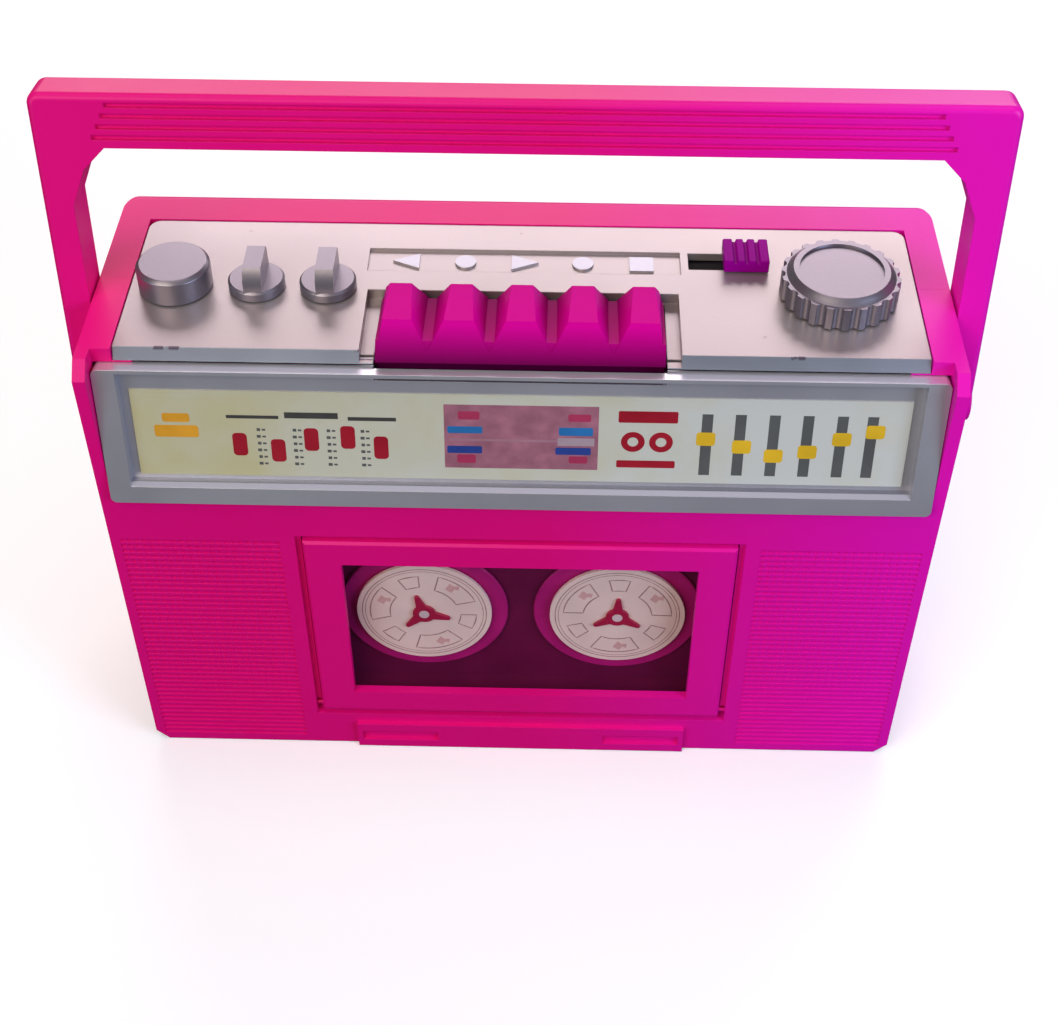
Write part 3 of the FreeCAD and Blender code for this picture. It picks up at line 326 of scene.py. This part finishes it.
M = {
    # both pinks carry painted bluish light towards the right
    "pink": pink("pink_moulding_painted_bluish_light"),
    "pink_soft": pink("pink_moulding_soft_edges", True),
    "pink_keys_painted_shade": keys(),
    "silver": silver("silvered_plastic"),
    # painted reflection: the panel's silver is tinted warm pink for the handle's reflection; its chips and
    # specks are wear
    "silver_panel_painted_reflection": silver("silvered_panel_worn_painted_reflection", True, 0.74, (1.0, 0.91, 0.86)),
    # painted shade: a darker, bluish copy of the silver for the front-facing skirt, with chips and specks
    # of wear
    "silver_skirt_painted_shade": silver("silvered_skirt_worn_painted_shade", True, 0.62, (0.92, 1.0, 1.10)),
    # painted highlight: a brighter copy of the silver for the bezel's top lip
    "silver_lip_painted_highlight": silver("silvered_lip_painted_highlight", False, 1.30, (0.96, 0.98, 1.0)),
    # painted highlight: a brighter, bluer copy of the panel silver for the raised signs
    "silver_sign_painted_highlight": silver("silvered_signs_painted_highlight", False, 0.84, (0.95, 0.97, 1.03)),
    # painted shade: a darker, bluish copy of the silver for the ledge under the label
    "silver_ledge_painted_shade": silver("silvered_ledge_painted_shade", False, 0.62, (0.94, 0.97, 1.06)),
    # painted reflection: a darker, mauve copy of the silver for the knobs, for the handle's dark
    # reflection in them
    "silver_knob_painted_reflection": silver("silvered_knobs_painted_reflection", False, 0.44, (1.0, 0.92, 1.0), 0.80, 0.34),
    "paper": paper(),
    "glass": glass(),
    # the backing plate's own maroon, also painted on the pink shell's well walls as shade
    "card_and_well_shade": plain("backing_card", (0.135, 0.003, 0.042, 1.0), 0.5, spec=0.2),
    "tape": plain("tape_ring", (0.46, 0.008, 0.16, 1.0), 0.45, spec=0.2),
    "disc": plain("reel_disc", (0.92, 0.66, 0.60, 1.0), 0.5, spread=0.05, spec=0.2),
    "disc_line": plain("disc_print", (0.40, 0.22, 0.21, 1.0), 0.6, spread=0.3, scale=400.0),
    "disc_rose": plain("disc_smudge", (0.74, 0.40, 0.38, 1.0), 0.6),
    "red": plain("spider_red", (0.42, 0.006, 0.045, 1.0), 0.4),
    "white": plain("hub_white", (0.72, 0.52, 0.54, 1.0), 0.45),
    "nylon": plain("nylon", (0.75, 0.75, 0.72, 1.0), 0.5),
    "black": plain("black_slider", (0.010, 0.010, 0.014, 1.0), 0.45),
    "rubber": plain("belt_rubber", (0.02, 0.02, 0.02, 1.0), 0.7),
    "steel": plain("plated_steel", (0.55, 0.55, 0.57, 1.0), 0.3, metallic=1.0),
    "brass": plain("turned_brass", (0.72, 0.55, 0.25, 1.0), 0.3, metallic=1.0),
    "purple": plain("switch_purple", (0.34, 0.0005, 0.30, 1.0), 0.4, spec=0.02),
    "ink_orange": plain("ink_orange", (0.74, 0.33, 0.02, 1.0), 0.5),
    "ink_yellow": plain("ink_yellow", (0.78, 0.46, 0.015, 1.0), 0.5),
    "ink_black": plain("ink_black", (0.055, 0.050, 0.045, 1.0), 0.5),
    "ink_grey": plain("ink_grey", (0.10, 0.10, 0.095, 1.0), 0.5),
    "ink_red": plain("ink_red", (0.36, 0.004, 0.018, 1.0), 0.5),
    "ink_blue": plain("ink_blue", (0.02, 0.16, 0.42, 1.0), 0.5),
    "ink_navy": plain("ink_navy", (0.02, 0.05, 0.26, 1.0), 0.5),
    "ink_mauve": plain("ink_mauve", (0.36, 0.13, 0.18, 1.0), 0.5, spread=0.2, scale=300.0),
    "ink_rose": plain("ink_rose", (0.40, 0.03, 0.09, 1.0), 0.5),
    "ink_haze": plain("ink_haze", (0.40, 0.19, 0.24, 1.0), 0.5),
    "ink_pale": plain("ink_pale", (0.42, 0.30, 0.34, 1.0), 0.5),
}


# ---------------------------------------------------------------- pieces cut from the CAD nodes


def finish_mesh(obj, bevel, segments, angle):
    """Round the edges sharper than angle by bevel millimetres, or keep them sharp if bevel is 0."""
    for polygon in obj.data.polygons:
        polygon.use_smooth = True
    if bevel:
        mod = obj.modifiers.new("edges", "BEVEL")
        mod.width = bevel * MM
        mod.segments = segments
        mod.limit_method = "ANGLE"
        mod.angle_limit = math.radians(angle)
        mod.miter_outer = "MITER_ARC"
        mod.use_clamp_overlap = True
        mod.harden_normals = False
    else:
        obj.data.set_sharp_from_angle(angle=math.radians(angle))
    mod = obj.modifiers.new("normals", "WEIGHTED_NORMAL")
    mod.weight = 60
    mod.keep_sharp = True


def clean_copy(node, merge=True):
    """A CAD node's corners and faces with doubled corners joined and, if merge, flat faces merged."""
    source = frame["nodes"][node].data
    bm = bmesh.new()
    bm.from_mesh(source)
    bmesh.ops.remove_doubles(bm, verts=bm.verts, dist=2e-6)
    if merge:
        bmesh.ops.dissolve_limit(bm, angle_limit=math.radians(0.4), verts=bm.verts, edges=bm.edges)
    bm.verts.index_update()
    verts = [v.co.copy() for v in bm.verts]
    faces = [[v.index for v in f.verts] for f in bm.faces]
    bm.free()
    return verts, faces


def own(node, name, *materials, bevel=0.0, segments=2, angle=28, pick=None, merge=True):
    """A cleaned copy of a CAD node with softened edges, shown in its place."""
    verts, faces = clean_copy(node, merge)
    obj = add_mesh(name, verts, faces)
    for material in materials:
        obj.data.materials.append(M[material])
    if pick:
        for polygon in obj.data.polygons:
            polygon.material_index = pick(polygon)
    finish_mesh(obj, bevel, segments, angle)
    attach(obj, BODY_OF[node])
    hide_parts(node)
    return obj


def kept(node, material):
    """A CAD node kept as it is, with a finish."""
    obj = frame["nodes"][node]
    obj.data.materials.clear()
    obj.data.materials.append(M[material])


# ---------------------------------------------------------------- thin printed or moulded detail


class Sheet:
    """Flat shapes raised a hair above a plane, each a closed prism, in millimetres."""

    def __init__(self, origin, across, up):
        self.o = Vector(origin)
        self.u = Vector(across).normalized()
        self.w = Vector(up).normalized()
        self.n = self.u.cross(self.w).normalized()
        self.parts = {}

    def at(self, u, w, out):
        return self.o + (self.u * u + self.w * w + self.n * out) * MM

    def shape(self, group, points, low=0.0, high=0.02):
        self.parts.setdefault(group, []).append((points, low, high))

    def rect(self, group, u0, u1, w0, w1, low=0.0, high=0.02):
        self.shape(group, [(u0, w0), (u1, w0), (u1, w1), (u0, w1)], low, high)

    def rounded(self, group, u0, u1, w0, w1, r, high=0.02, steps=5):
        points = []
        corners = ((u1 - r, w0 + r, -90), (u1 - r, w1 - r, 0), (u0 + r, w1 - r, 90), (u0 + r, w0 + r, 180))
        for cu, cw, start in corners:
            for k in range(steps + 1):
                a = math.radians(start + 90.0 * k / steps)
                points.append((cu + r * math.cos(a), cw + r * math.sin(a)))
        self.shape(group, points, 0.0, high)

    def ring(self, group, cu, cw, r0, r1, high=0.02, steps=64, squash=1.0):
        for k in range(steps):
            a = 2 * math.pi * k / steps
            b = 2 * math.pi * (k + 1) / steps
            self.shape(
                group,
                [
                    (cu + r0 * math.cos(a), cw + squash * r0 * math.sin(a)),
                    (cu + r1 * math.cos(a), cw + squash * r1 * math.sin(a)),
                    (cu + r1 * math.cos(b), cw + squash * r1 * math.sin(b)),
                    (cu + r0 * math.cos(b), cw + squash * r0 * math.sin(b)),
                ],
                0.0,
                high,
            )

    def disc(self, group, cu, cw, r, high=0.02, steps=32):
        points = [
            (cu + r * math.cos(2 * math.pi * k / steps), cw + r * math.sin(2 * math.pi * k / steps))
            for k in range(steps)
        ]
        self.shape(group, points, 0.0, high)

    def outline(self, group, points, width, high=0.02):
        count = len(points)
        inner = []
        outer = []
        for k in range(count):
            p = Vector(points[k - 1])
            q = Vector(points[k])
            r = Vector(points[(k + 1) % count])
            d = (r - p).normalized()
            side = Vector((-d.y, d.x)) * width / 2
            inner.append(q + side)
            outer.append(q - side)
        for k in range(count):
            j = (k + 1) % count
            corners = (outer[k], outer[j], inner[j], inner[k])
            self.shape(group, [tuple(c) for c in corners], 0.0, high)

    def build(self, prefix, body, materials):
        """One object per group, closed at the front, the back and round its edges."""
        for group, shapes in self.parts.items():
            verts = []
            faces = []
            for points, low, high in shapes:
                base = len(verts)
                count = len(points)
                verts += [self.at(u, w, low) for u, w in points]
                verts += [self.at(u, w, high) for u, w in points]
                faces.append([base + count + k for k in range(count)])
                faces.append([base + count - 1 - k for k in range(count)])
                for k in range(count):
                    j = (k + 1) % count
                    faces.append([base + k, base + j, base + count + j, base + count + k])
            obj = add_mesh(prefix + group, verts, faces, M[materials[group]])
            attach(obj, body)


# ---------------------------------------------------------------- case, panel, bezel, handle

well_lo, well_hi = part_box("door_window")
panel_lo, panel_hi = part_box("top_panel")
bezel_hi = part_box("dial_bezel")[1]
key_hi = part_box("key_block")[1]
deck_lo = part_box("reel_deck")[0]
SIGN_Y = (key_hi.y + 0.0085, key_hi.y + 0.0132)
SIGN_HALF = 0.028


def shell_pick(polygon):
    """The walls of the well behind the window get the dark maroon of the backing plate as painted shade.
    """
    c = polygon.center
    in_width = well_lo.x - 0.003 < c.x < well_hi.x + 0.003
    in_height = well_lo.z - 0.004 < c.z < well_hi.z + 0.004
    return 1 if in_width and in_height and well_hi.y < c.y < deck_lo.y + 0.002 else 0


def panel_pick(polygon):
    """Painted highlight on the raised signs in their strip, painted shade on the front skirt, and the rest
    of the panel.
    """
    c = polygon.center
    if polygon.normal.y < -0.5 and c.y < panel_lo.y + 0.0015:
        return 2
    on_top = polygon.normal.z > 0.9 and c.z < panel_hi.z + 0.0001
    raised = c.z > panel_hi.z - 0.00055
    return 1 if on_top and raised and SIGN_Y[0] < c.y < SIGN_Y[1] and abs(c.x) < SIGN_HALF else 0


def bezel_pick(polygon):
    """A painted highlight on the lip at the top, painted shade on the ledge under the label, and the rest
    of the bezel.
    """
    if polygon.normal.z < 0.75:
        return 0
    return 1 if polygon.center.z > bezel_hi.z - 0.003 else 2


# the front shell's well walls carry painted shade in the backing plate's maroon
own("front_shell", "front_shell_moulding", "pink_soft", "card_and_well_shade", pick=shell_pick, merge=False)
own("rear_shell", "rear_shell_moulding", "pink", bevel=0.3, segments=3)
own("handle", "carrying_handle", "pink_soft", merge=False)
# the panel's silver with painted reflection, painted highlight on the signs and painted shade on the skirt
PANEL_FINISH_AND_PAINTED_LIGHT = ("silver_panel_painted_reflection", "silver_sign_painted_highlight", "silver_skirt_painted_shade")
own("top_panel", "silvered_panel", *PANEL_FINISH_AND_PAINTED_LIGHT, pick=panel_pick, merge=False)
# the bezel's silver, with painted highlight on the lip and painted shade on the ledge
BEZEL_FINISH_AND_PAINTED_LIGHT = ("silver", "silver_lip_painted_highlight", "silver_ledge_painted_shade")
own("dial_bezel", "silvered_bezel", *BEZEL_FINISH_AND_PAINTED_LIGHT, bevel=0.3, segments=3, pick=bezel_pick)
own("dial_label", "label_paper", "paper")
own("cassette_door", "door_moulding", "pink", bevel=0.3, segments=3)
own("door_window", "window_glass", "glass", bevel=0.1)
# the keys carry painted shade towards their foot
own("key_block", "piano_keys", "pink_keys_painted_shade", bevel=0.6, segments=4, angle=20)
# the knobs carry painted reflection in their darker silver
own("volume_knob", "round_knob", "silver_knob_painted_reflection", bevel=0.55, segments=4)
own("tone_knob", "pointer_knob_left", "silver_knob_painted_reflection", bevel=0.45, segments=4)
own("balance_knob", "pointer_knob_right", "silver_knob_painted_reflection", bevel=0.45, segments=4)
own("wind_knob", "scalloped_knob", "silver_knob_painted_reflection", bevel=0.35, segments=3)
own("switch_knob", "ridged_slide", "purple", bevel=0.25, segments=3)
own("switch_slider", "slide_plate", "black", bevel=0.1)
own("handle_pins", "pivot_pins", "silver", bevel=0.3, segments=3)
own("case_screws", "back_screws", "steel", bevel=0.12)


# ---------------------------------------------------------------- reels and what lies behind them

REELS = [sum(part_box(node), Vector()) / 2 for node in ("left_reel", "right_reel")]
DISC_BACK_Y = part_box("left_reel")[1].y
TAPE_FRONT_Y = DISC_BACK_Y + 0.0003
TAPE_R = 0.0171
TAPE_ROOT_R = 0.0173
TAPE_BORE_R = 0.0060
TAPE_STEPS = 96


def deck_pick(polygon):
    """The rings of wound tape moulded on the backing plate."""
    c = polygon.center
    near = min(math.hypot(c.x - r.x, c.z - r.z) for r in REELS)
    return 1 if near < TAPE_R and c.y < deck_lo.y + 0.00035 else 0


def tape_pack(side, centre):
    """The wound tape, a moulded ring that fills the space behind a reel disc."""
    section = (
        (TAPE_BORE_R, deck_lo.y),
        (TAPE_BORE_R, TAPE_FRONT_Y),
        (TAPE_R, TAPE_FRONT_Y),
        (TAPE_ROOT_R, TAPE_FRONT_Y + 0.0002),
        (TAPE_ROOT_R, deck_lo.y),
    )
    bm = bmesh.new()
    loops = []
    for radius, depth in section:
        loop = []
        for k in range(TAPE_STEPS):
            a = 2 * math.pi * k / TAPE_STEPS
            place = (centre.x + radius * math.cos(a), depth, centre.z + radius * math.sin(a))
            loop.append(bm.verts.new(place))
        loops.append(loop)
    for a, b in zip(loops, loops[1:] + loops[:1]):
        for k in range(TAPE_STEPS):
            j = (k + 1) % TAPE_STEPS
            bm.faces.new((a[k], a[j], b[j], b[k]))
    close_piece(bm, "tape_pack_" + side, "tape")


def close_piece(bm, name, material):
    """Turn a closed bmesh into a piece of the case, finished as the node it belongs to."""
    bmesh.ops.recalc_face_normals(bm, faces=bm.faces)
    mesh = bpy.data.meshes.new(name)
    bm.to_mesh(mesh)
    bm.free()
    mesh.materials.append(M[material])
    obj = add_object(name, mesh)
    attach(obj, "case")


own("reel_deck", "backing_plate", "card_and_well_shade", "tape", pick=deck_pick, merge=False)
tape_pack("left", REELS[0])
tape_pack("right", REELS[1])
own("left_reel", "reel_disc_left", "disc", bevel=0.08)
own("right_reel", "reel_disc_right", "disc", bevel=0.08)
own("left_spider", "spider_left", "red", bevel=0.14, segments=3)
own("right_spider", "spider_right", "red", bevel=0.14, segments=3)


# ---------------------------------------------------------------- hidden pieces

for node, material in (
    ("door_pin", "pink"),
    ("deck_screws", "steel"),
    ("reel_bracket", "black"),
    ("drive_belt", "rubber"),
    ("left_spindle", "nylon"),
    ("right_spindle", "nylon"),
    ("volume_clip", "steel"),
    ("tone_clip", "steel"),
    ("balance_clip", "steel"),
    ("winding_arbor", "steel"),
    ("movement_frame", "steel"),
    ("movement_screws", "steel"),
    ("spring_barrel", "brass"),
    ("music_drum", "brass"),
    ("drum_arbor", "steel"),
    ("crown_pinion", "nylon"),
    ("worm_wheel", "nylon"),
    ("comb", "steel"),
    ("comb_screws", "steel"),
    ("governor", "brass"),
):
    kept(node, material)


# the return springs, with a mesh of their own
springs = own("key_springs", "return_springs", "steel", merge=False)
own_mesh(springs)


# ---------------------------------------------------------------- ledge beside the door

CHANNEL = 0.0014
LEDGE_GAP = 0.00035
LEDGE_FRONT_Y = CASE_FRONT_Y + 0.0008
LEDGE_BACK_Y = CASE_FRONT_Y + 0.0016
LEDGE_FOOT = 0.0028


def bay_ledge():
    """A shallow step in the channel at both sides of the door and above it."""
    door_lo, door_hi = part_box("cassette_door")
    foot = door_lo.z + LEDGE_FOOT
    inner_x = door_hi.x + LEDGE_GAP
    outer_x = door_hi.x + CHANNEL
    inner_z = door_hi.z + LEDGE_GAP
    outer_z = door_hi.z + CHANNEL
    outline = (
        (-outer_x, foot),
        (-outer_x, outer_z),
        (outer_x, outer_z),
        (outer_x, foot),
        (inner_x, foot),
        (inner_x, inner_z),
        (-inner_x, inner_z),
        (-inner_x, foot),
    )
    bm = bmesh.new()
    front = [bm.verts.new((x, LEDGE_FRONT_Y, z)) for x, z in outline]
    rear = [bm.verts.new((x, LEDGE_BACK_Y, z)) for x, z in outline]
    for quad in ((0, 1, 6, 7), (1, 2, 5, 6), (2, 3, 4, 5)):
        bm.faces.new([front[k] for k in quad])
        bm.faces.new([rear[k] for k in reversed(quad)])
    for k in range(8):
        j = (k + 1) % 8
        bm.faces.new((front[k], rear[k], rear[j], front[j]))
    close_piece(bm, "door_channel_ledge", "pink")


bay_ledge()


# ---------------------------------------------------------------- speaker mesh

GRILLE_X = (46.9, 78.0)
GRILLE_Z = (2.2, 64.2)
GRILLE_PITCH = 1.45
RIB_HALF = 0.34
RIB_BACK = 0.58
RIB_DEPTHS = (0.40, 0.10, 0.06)
BED_DEPTHS = (0.34, 0.26, 0.55)
BOX_FACES = ((0, 1, 5, 4), (1, 2, 6, 5), (2, 3, 7, 6), (3, 0, 4, 7), (4, 5, 6, 7), (3, 2, 1, 0))


def on_front(x, depth, z):
    return Vector((x * MM, CASE_FRONT_Y + depth * MM, z * MM))


def rib(x, foot, head):
    """The corners of an upright bar from foot to head, each a pair of depth and height."""
    verts = []
    for depth, z in (foot, head):
        verts += [on_front(x - RIB_HALF, depth, z), on_front(x + RIB_HALF, depth, z)]
        verts += [on_front(x + RIB_HALF, RIB_BACK, z), on_front(x - RIB_HALF, RIB_BACK, z)]
    return verts


def speaker_mesh(name, x0, x1):
    """Upright bars across the level grooves, sinking into a shallow bed towards the foot."""
    z0, z1 = GRILLE_Z
    z_mid = z0 + (z1 - z0) * 0.42
    bed_foot, bed_head, bed_back = BED_DEPTHS
    verts = [on_front(x0, bed_foot, z0), on_front(x1, bed_foot, z0)]
    verts += [on_front(x1, bed_head, z1), on_front(x0, bed_head, z1)]
    verts += [Vector((v.x, CASE_FRONT_Y + bed_back * MM, v.z)) for v in verts]
    faces = [(0, 1, 2, 3), (7, 6, 5, 4), (0, 4, 5, 1), (1, 5, 6, 2), (2, 6, 7, 3), (3, 7, 4, 0)]
    low, middle, high = RIB_DEPTHS
    count = int((x1 - x0) / GRILLE_PITCH)
    start = (x0 + x1) / 2 - GRILLE_PITCH * (count - 1) / 2
    for k in range(count):
        x = start + GRILLE_PITCH * k
        for foot, head in (((middle, z_mid), (high, z1)), ((low, z0), (middle, z_mid))):
            base = len(verts)
            verts += rib(x, foot, head)
            faces += [[base + q for q in quad] for quad in BOX_FACES]
    obj = add_mesh(name, verts, faces, M["pink"])
    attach(obj, "case")


speaker_mesh("speaker_mesh_left", -GRILLE_X[1], -GRILLE_X[0])
speaker_mesh("speaker_mesh_right", *GRILLE_X)


# ---------------------------------------------------------------- dial label artwork

LABEL_THICK = 0.0002
label_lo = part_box("dial_label")[0]
label_foot = Vector((0.0, label_lo.y, label_lo.z + LABEL_THICK * math.sin(BEZEL_LEAN)))
art = Sheet(label_foot, (1, 0, 0), (0, math.sin(BEZEL_LEAN), math.cos(BEZEL_LEAN)))

art.rounded("orange", -67.8, -59.6, 8.4, 11.0, 0.5)
art.rounded("orange", -66.1, -61.0, 11.7, 13.6, 0.5)
art.rect("black", -54.2, -44.5, 12.7, 13.4)
art.rect("black", -43.4, -33.5, 12.9, 14.2)
art.rect("black", -31.7, -22.8, 12.6, 13.4)
for u, w in ((-52.1, 7.0), (-45.0, 5.75), (-38.7, 8.3), (-31.9, 8.9), (-25.8, 6.75)):
    art.rounded("red", u - 1.35, u + 1.35, w - 2.5, w + 2.5, 0.8, 0.03)
for u in (-48.0, -41.3, -35.0, -28.7):
    for row in range(6):
        w = 2.5 + 1.5 * row
        art.rect("grey", u - 0.85 + 0.1 * (row % 2), u - 0.1, w, w + 0.62)
        art.rect("grey", u + 0.2, u + 0.85, w + 0.1, w + 0.5)
art.rect("mauve", -14.0, 14.5, 2.6, 16.5)
art.rounded("rose", -11.4, -7.4, 13.3, 15.1, 0.4, 0.03)
art.rounded("blue", -13.4, -6.9, 10.3, 11.8, 0.3, 0.03)
art.rounded("navy", -13.5, -7.0, 5.9, 7.5, 0.3, 0.03)
art.rounded("rose", -11.7, -8.2, 3.7, 5.6, 0.4, 0.03)
art.rounded("rose", 8.9, 13.1, 13.2, 14.8, 0.4, 0.03)
art.rounded("blue", 7.2, 13.5, 10.1, 11.9, 0.3, 0.03)
art.rect("pale", 7.0, 13.8, 7.9, 9.6, 0.0, 0.025)
art.rect("haze", -13.0, 7.0, 8.6, 9.1, 0.0, 0.022)
art.rounded("navy", 6.6, 13.2, 5.9, 7.5, 0.3, 0.03)
art.rounded("rose", 9.1, 12.6, 4.0, 5.6, 0.4, 0.03)
# a plain cassette sign
art.rounded("crimson", 18.1, 29.0, 13.2, 15.7, 0.3)
art.rounded("crimson", 18.0, 28.9, 3.3, 4.9, 0.3)
art.ring("crimson", 20.9, 9.0, 1.0, 2.2, 0.02, 28)
art.ring("crimson", 26.1, 9.0, 1.0, 2.2, 0.02, 28)
for u, w in ((34.3, 9.9), (41.0, 8.3), (47.0, 6.4), (53.2, 7.4), (59.3, 10.3), (65.3, 12.0)):
    art.rounded("yellow", u - 1.75, u + 1.75, w - 1.45, w + 1.45, 0.6, 0.03)
for u in (34.4, 40.5, 46.7, 52.85, 59.1, 64.6):
    art.rect("track", u - 1.0, u + 1.0, 1.9, 15.3)
art.build(
    "label_print_",
    "case",
    {
        "orange": "ink_orange",
        "yellow": "ink_yellow",
        "black": "ink_black",
        "grey": "ink_grey",
        "track": "ink_grey",
        "red": "ink_red",
        "crimson": "ink_red",
        "blue": "ink_blue",
        "navy": "ink_navy",
        "mauve": "ink_mauve",
        "rose": "ink_rose",
        "pale": "ink_pale",
        "haze": "ink_haze",
    },
)


# ---------------------------------------------------------------- reel print


def window_points(start, half, r0, r1, steps):
    """A window between radii r0 and r1, reaching half degrees to each side of start."""
    points = []
    for k in range(steps + 1):
        a = math.radians(start - half + 2 * half * k / steps)
        points.append((r1 * math.cos(a), r1 * math.sin(a)))
    for k in range(steps + 1):
        a = math.radians(start + half * 0.92 - 2 * half * 0.92 * k / steps)
        points.append((r0 * math.cos(a), r0 * math.sin(a)))
    return points


# faint smudges in millimetres: a height, and corners round a point of the disc
SMUDGES = (
    (0.015, ((-1.1, -0.3), (0.2, -1.3), (1.2, 0.2), (-0.1, 1.4))),
    (0.012, ((0.6, -0.2), (1.7, -0.6), (1.9, 0.6), (1.0, 0.7))),
)


def reel_print(side, body, node, first):
    """Outlined windows, rim lines and smudges on a disc; first is an arm's angle in degrees."""
    lo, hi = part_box(node)
    centre = (lo + hi) / 2
    sheet = Sheet((centre.x, lo.y, centre.z), (1, 0, 0), (0, 0, 1))
    sheet.ring("lines", 0, 0, 12.75, 12.93)
    sheet.ring("lines", 0, 0, 12.15, 12.27)
    for k in range(3):
        arm = first + 120.0 * k
        sheet.outline("lines", window_points(arm, 11.5, 7.6, 10.8, 3), 0.26)
        sheet.outline("lines", window_points(arm + 60.0, 27.0, 7.1, 11.2, 8), 0.26)
        a = math.radians(arm + 60.0 + (-9, 4, 7)[k])
        u = 9.3 * math.cos(a)
        w = 9.3 * math.sin(a)
        for high, corners in SMUDGES:
            sheet.shape("rose", [(u + du, w + dw) for du, dw in corners], 0, high)
    sheet.build("reel_print_" + side + "_", body, {"lines": "disc_line", "rose": "disc_rose"})
    lo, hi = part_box(node.replace("reel", "spider"))
    hub = Sheet((centre.x, lo.y, centre.z), (1, 0, 0), (0, 0, 1))
    hub.disc("dot", 0, 0, 1.05, 0.03)
    hub.build("hub_" + side + "_", body, {"dot": "white"})


reel_print("left", "reel_left", "left_reel", 106.0)
reel_print("right", "reel_right", "right_reel", 89.0)


# ---------------------------------------------------------------- floor, light, camera

scene = bpy.context.scene

FLOOR_HALF = 3.0
FLOOR_GAP = 0.0002
TABLE_GAP = 0.0005


def level_sheet(name, z, material):
    """A wide level sheet under the object, which is scenery and not part of it."""
    half = FLOOR_HALF
    corners = [(-half, -half, 0), (half, -half, 0), (half, half, 0), (-half, half, 0)]
    obj = add_mesh(name, corners, [(0, 1, 2, 3)], material)
    obj.location.z = z
    return obj


floor_mat = Nodes("floor_white")
grain = floor_mat.noise(6.0, 2.0)
floor_mat.to(floor_mat.mix(grain, (0.90, 0.90, 0.90, 1), (0.93, 0.93, 0.93, 1)), "Base Color")
floor_mat.put("Roughness", 0.8)
floor_mat.put("Emission Color", (1.0, 1.0, 1.0, 1.0))
floor_mat.put("Emission Strength", 0.22)

# a dim table colours the bounced light, and the pale floor is what the camera sees
floor_z = bounds_at_load[0].z - FLOOR_GAP
floor = level_sheet("floor", floor_z, floor_mat.mat)
floor.visible_diffuse = False
floor.visible_glossy = False
table = level_sheet("table", floor_z - TABLE_GAP, plain("table_wood", (0.22, 0.22, 0.26, 1.0), 0.7))
table.visible_camera = False

world = bpy.data.worlds.new("studio") if scene.world is None else scene.world
scene.world = world
world.use_nodes = True
background = world.node_tree.nodes.get("Background")
background.inputs["Color"].default_value = (0.95, 0.96, 1.0, 1.0)
background.inputs["Strength"].default_value = 0.12


def area(name, place, aim, width, height, power, colour):
    """A rectangular lamp at place that points at aim."""
    light = bpy.data.lights.new(name, "AREA")
    light.shape = "RECTANGLE"
    light.size = width
    light.size_y = height
    light.energy = power
    light.color = colour
    obj = add_object(name, light)
    obj.location = place
    obj.rotation_euler = (Vector(aim) - Vector(place)).to_track_quat("-Z", "Y").to_euler()


area("top_softbox", (0.0, -0.10, 1.1), (0, 0, 0.05), 0.9, 0.7, 3.2, (1.0, 0.93, 0.95))
area("back_window", (0.10, 1.00, 0.62), (0, 0, 0.08), 1.3, 0.5, 8.5, (1.0, 0.88, 0.92))
area("front_softbox", (-0.45, -0.80, 0.75), (0, 0, 0.04), 0.8, 0.5, 6.0, (1.0, 0.90, 0.74))
area("right_softbox", (0.42, -0.32, 0.26), (0.03, 0, 0.05), 0.28, 0.28, 1.8, (0.60, 0.74, 1.0))
area("left_window", (-0.55, -0.42, 0.20), (-0.04, 0, 0.10), 0.25, 0.30, 0.9, (0.45, 0.72, 1.0))

camera_data = bpy.data.cameras.new("camera")
camera_data.lens = 57.63
camera_data.sensor_width = 36.0
camera_data.sensor_fit = "HORIZONTAL"
camera_data.clip_start = 0.01
camera = add_object("camera", camera_data)
place = (0.0071292, -0.2583038, 0.2979224)
right = Vector((0.999706, 0.0242, 0.001461))
up = Vector((-0.018, 0.700501, 0.713425))
back = right.cross(up).normalized()
up = back.cross(right).normalized()
camera.matrix_world = Matrix(
    (
        (right.x, up.x, back.x, place[0]),
        (right.y, up.y, back.y, place[1]),
        (right.z, up.z, back.z, place[2]),
        (0, 0, 0, 1),
    )
)
scene.camera = camera
scene.view_settings.view_transform = "Standard"
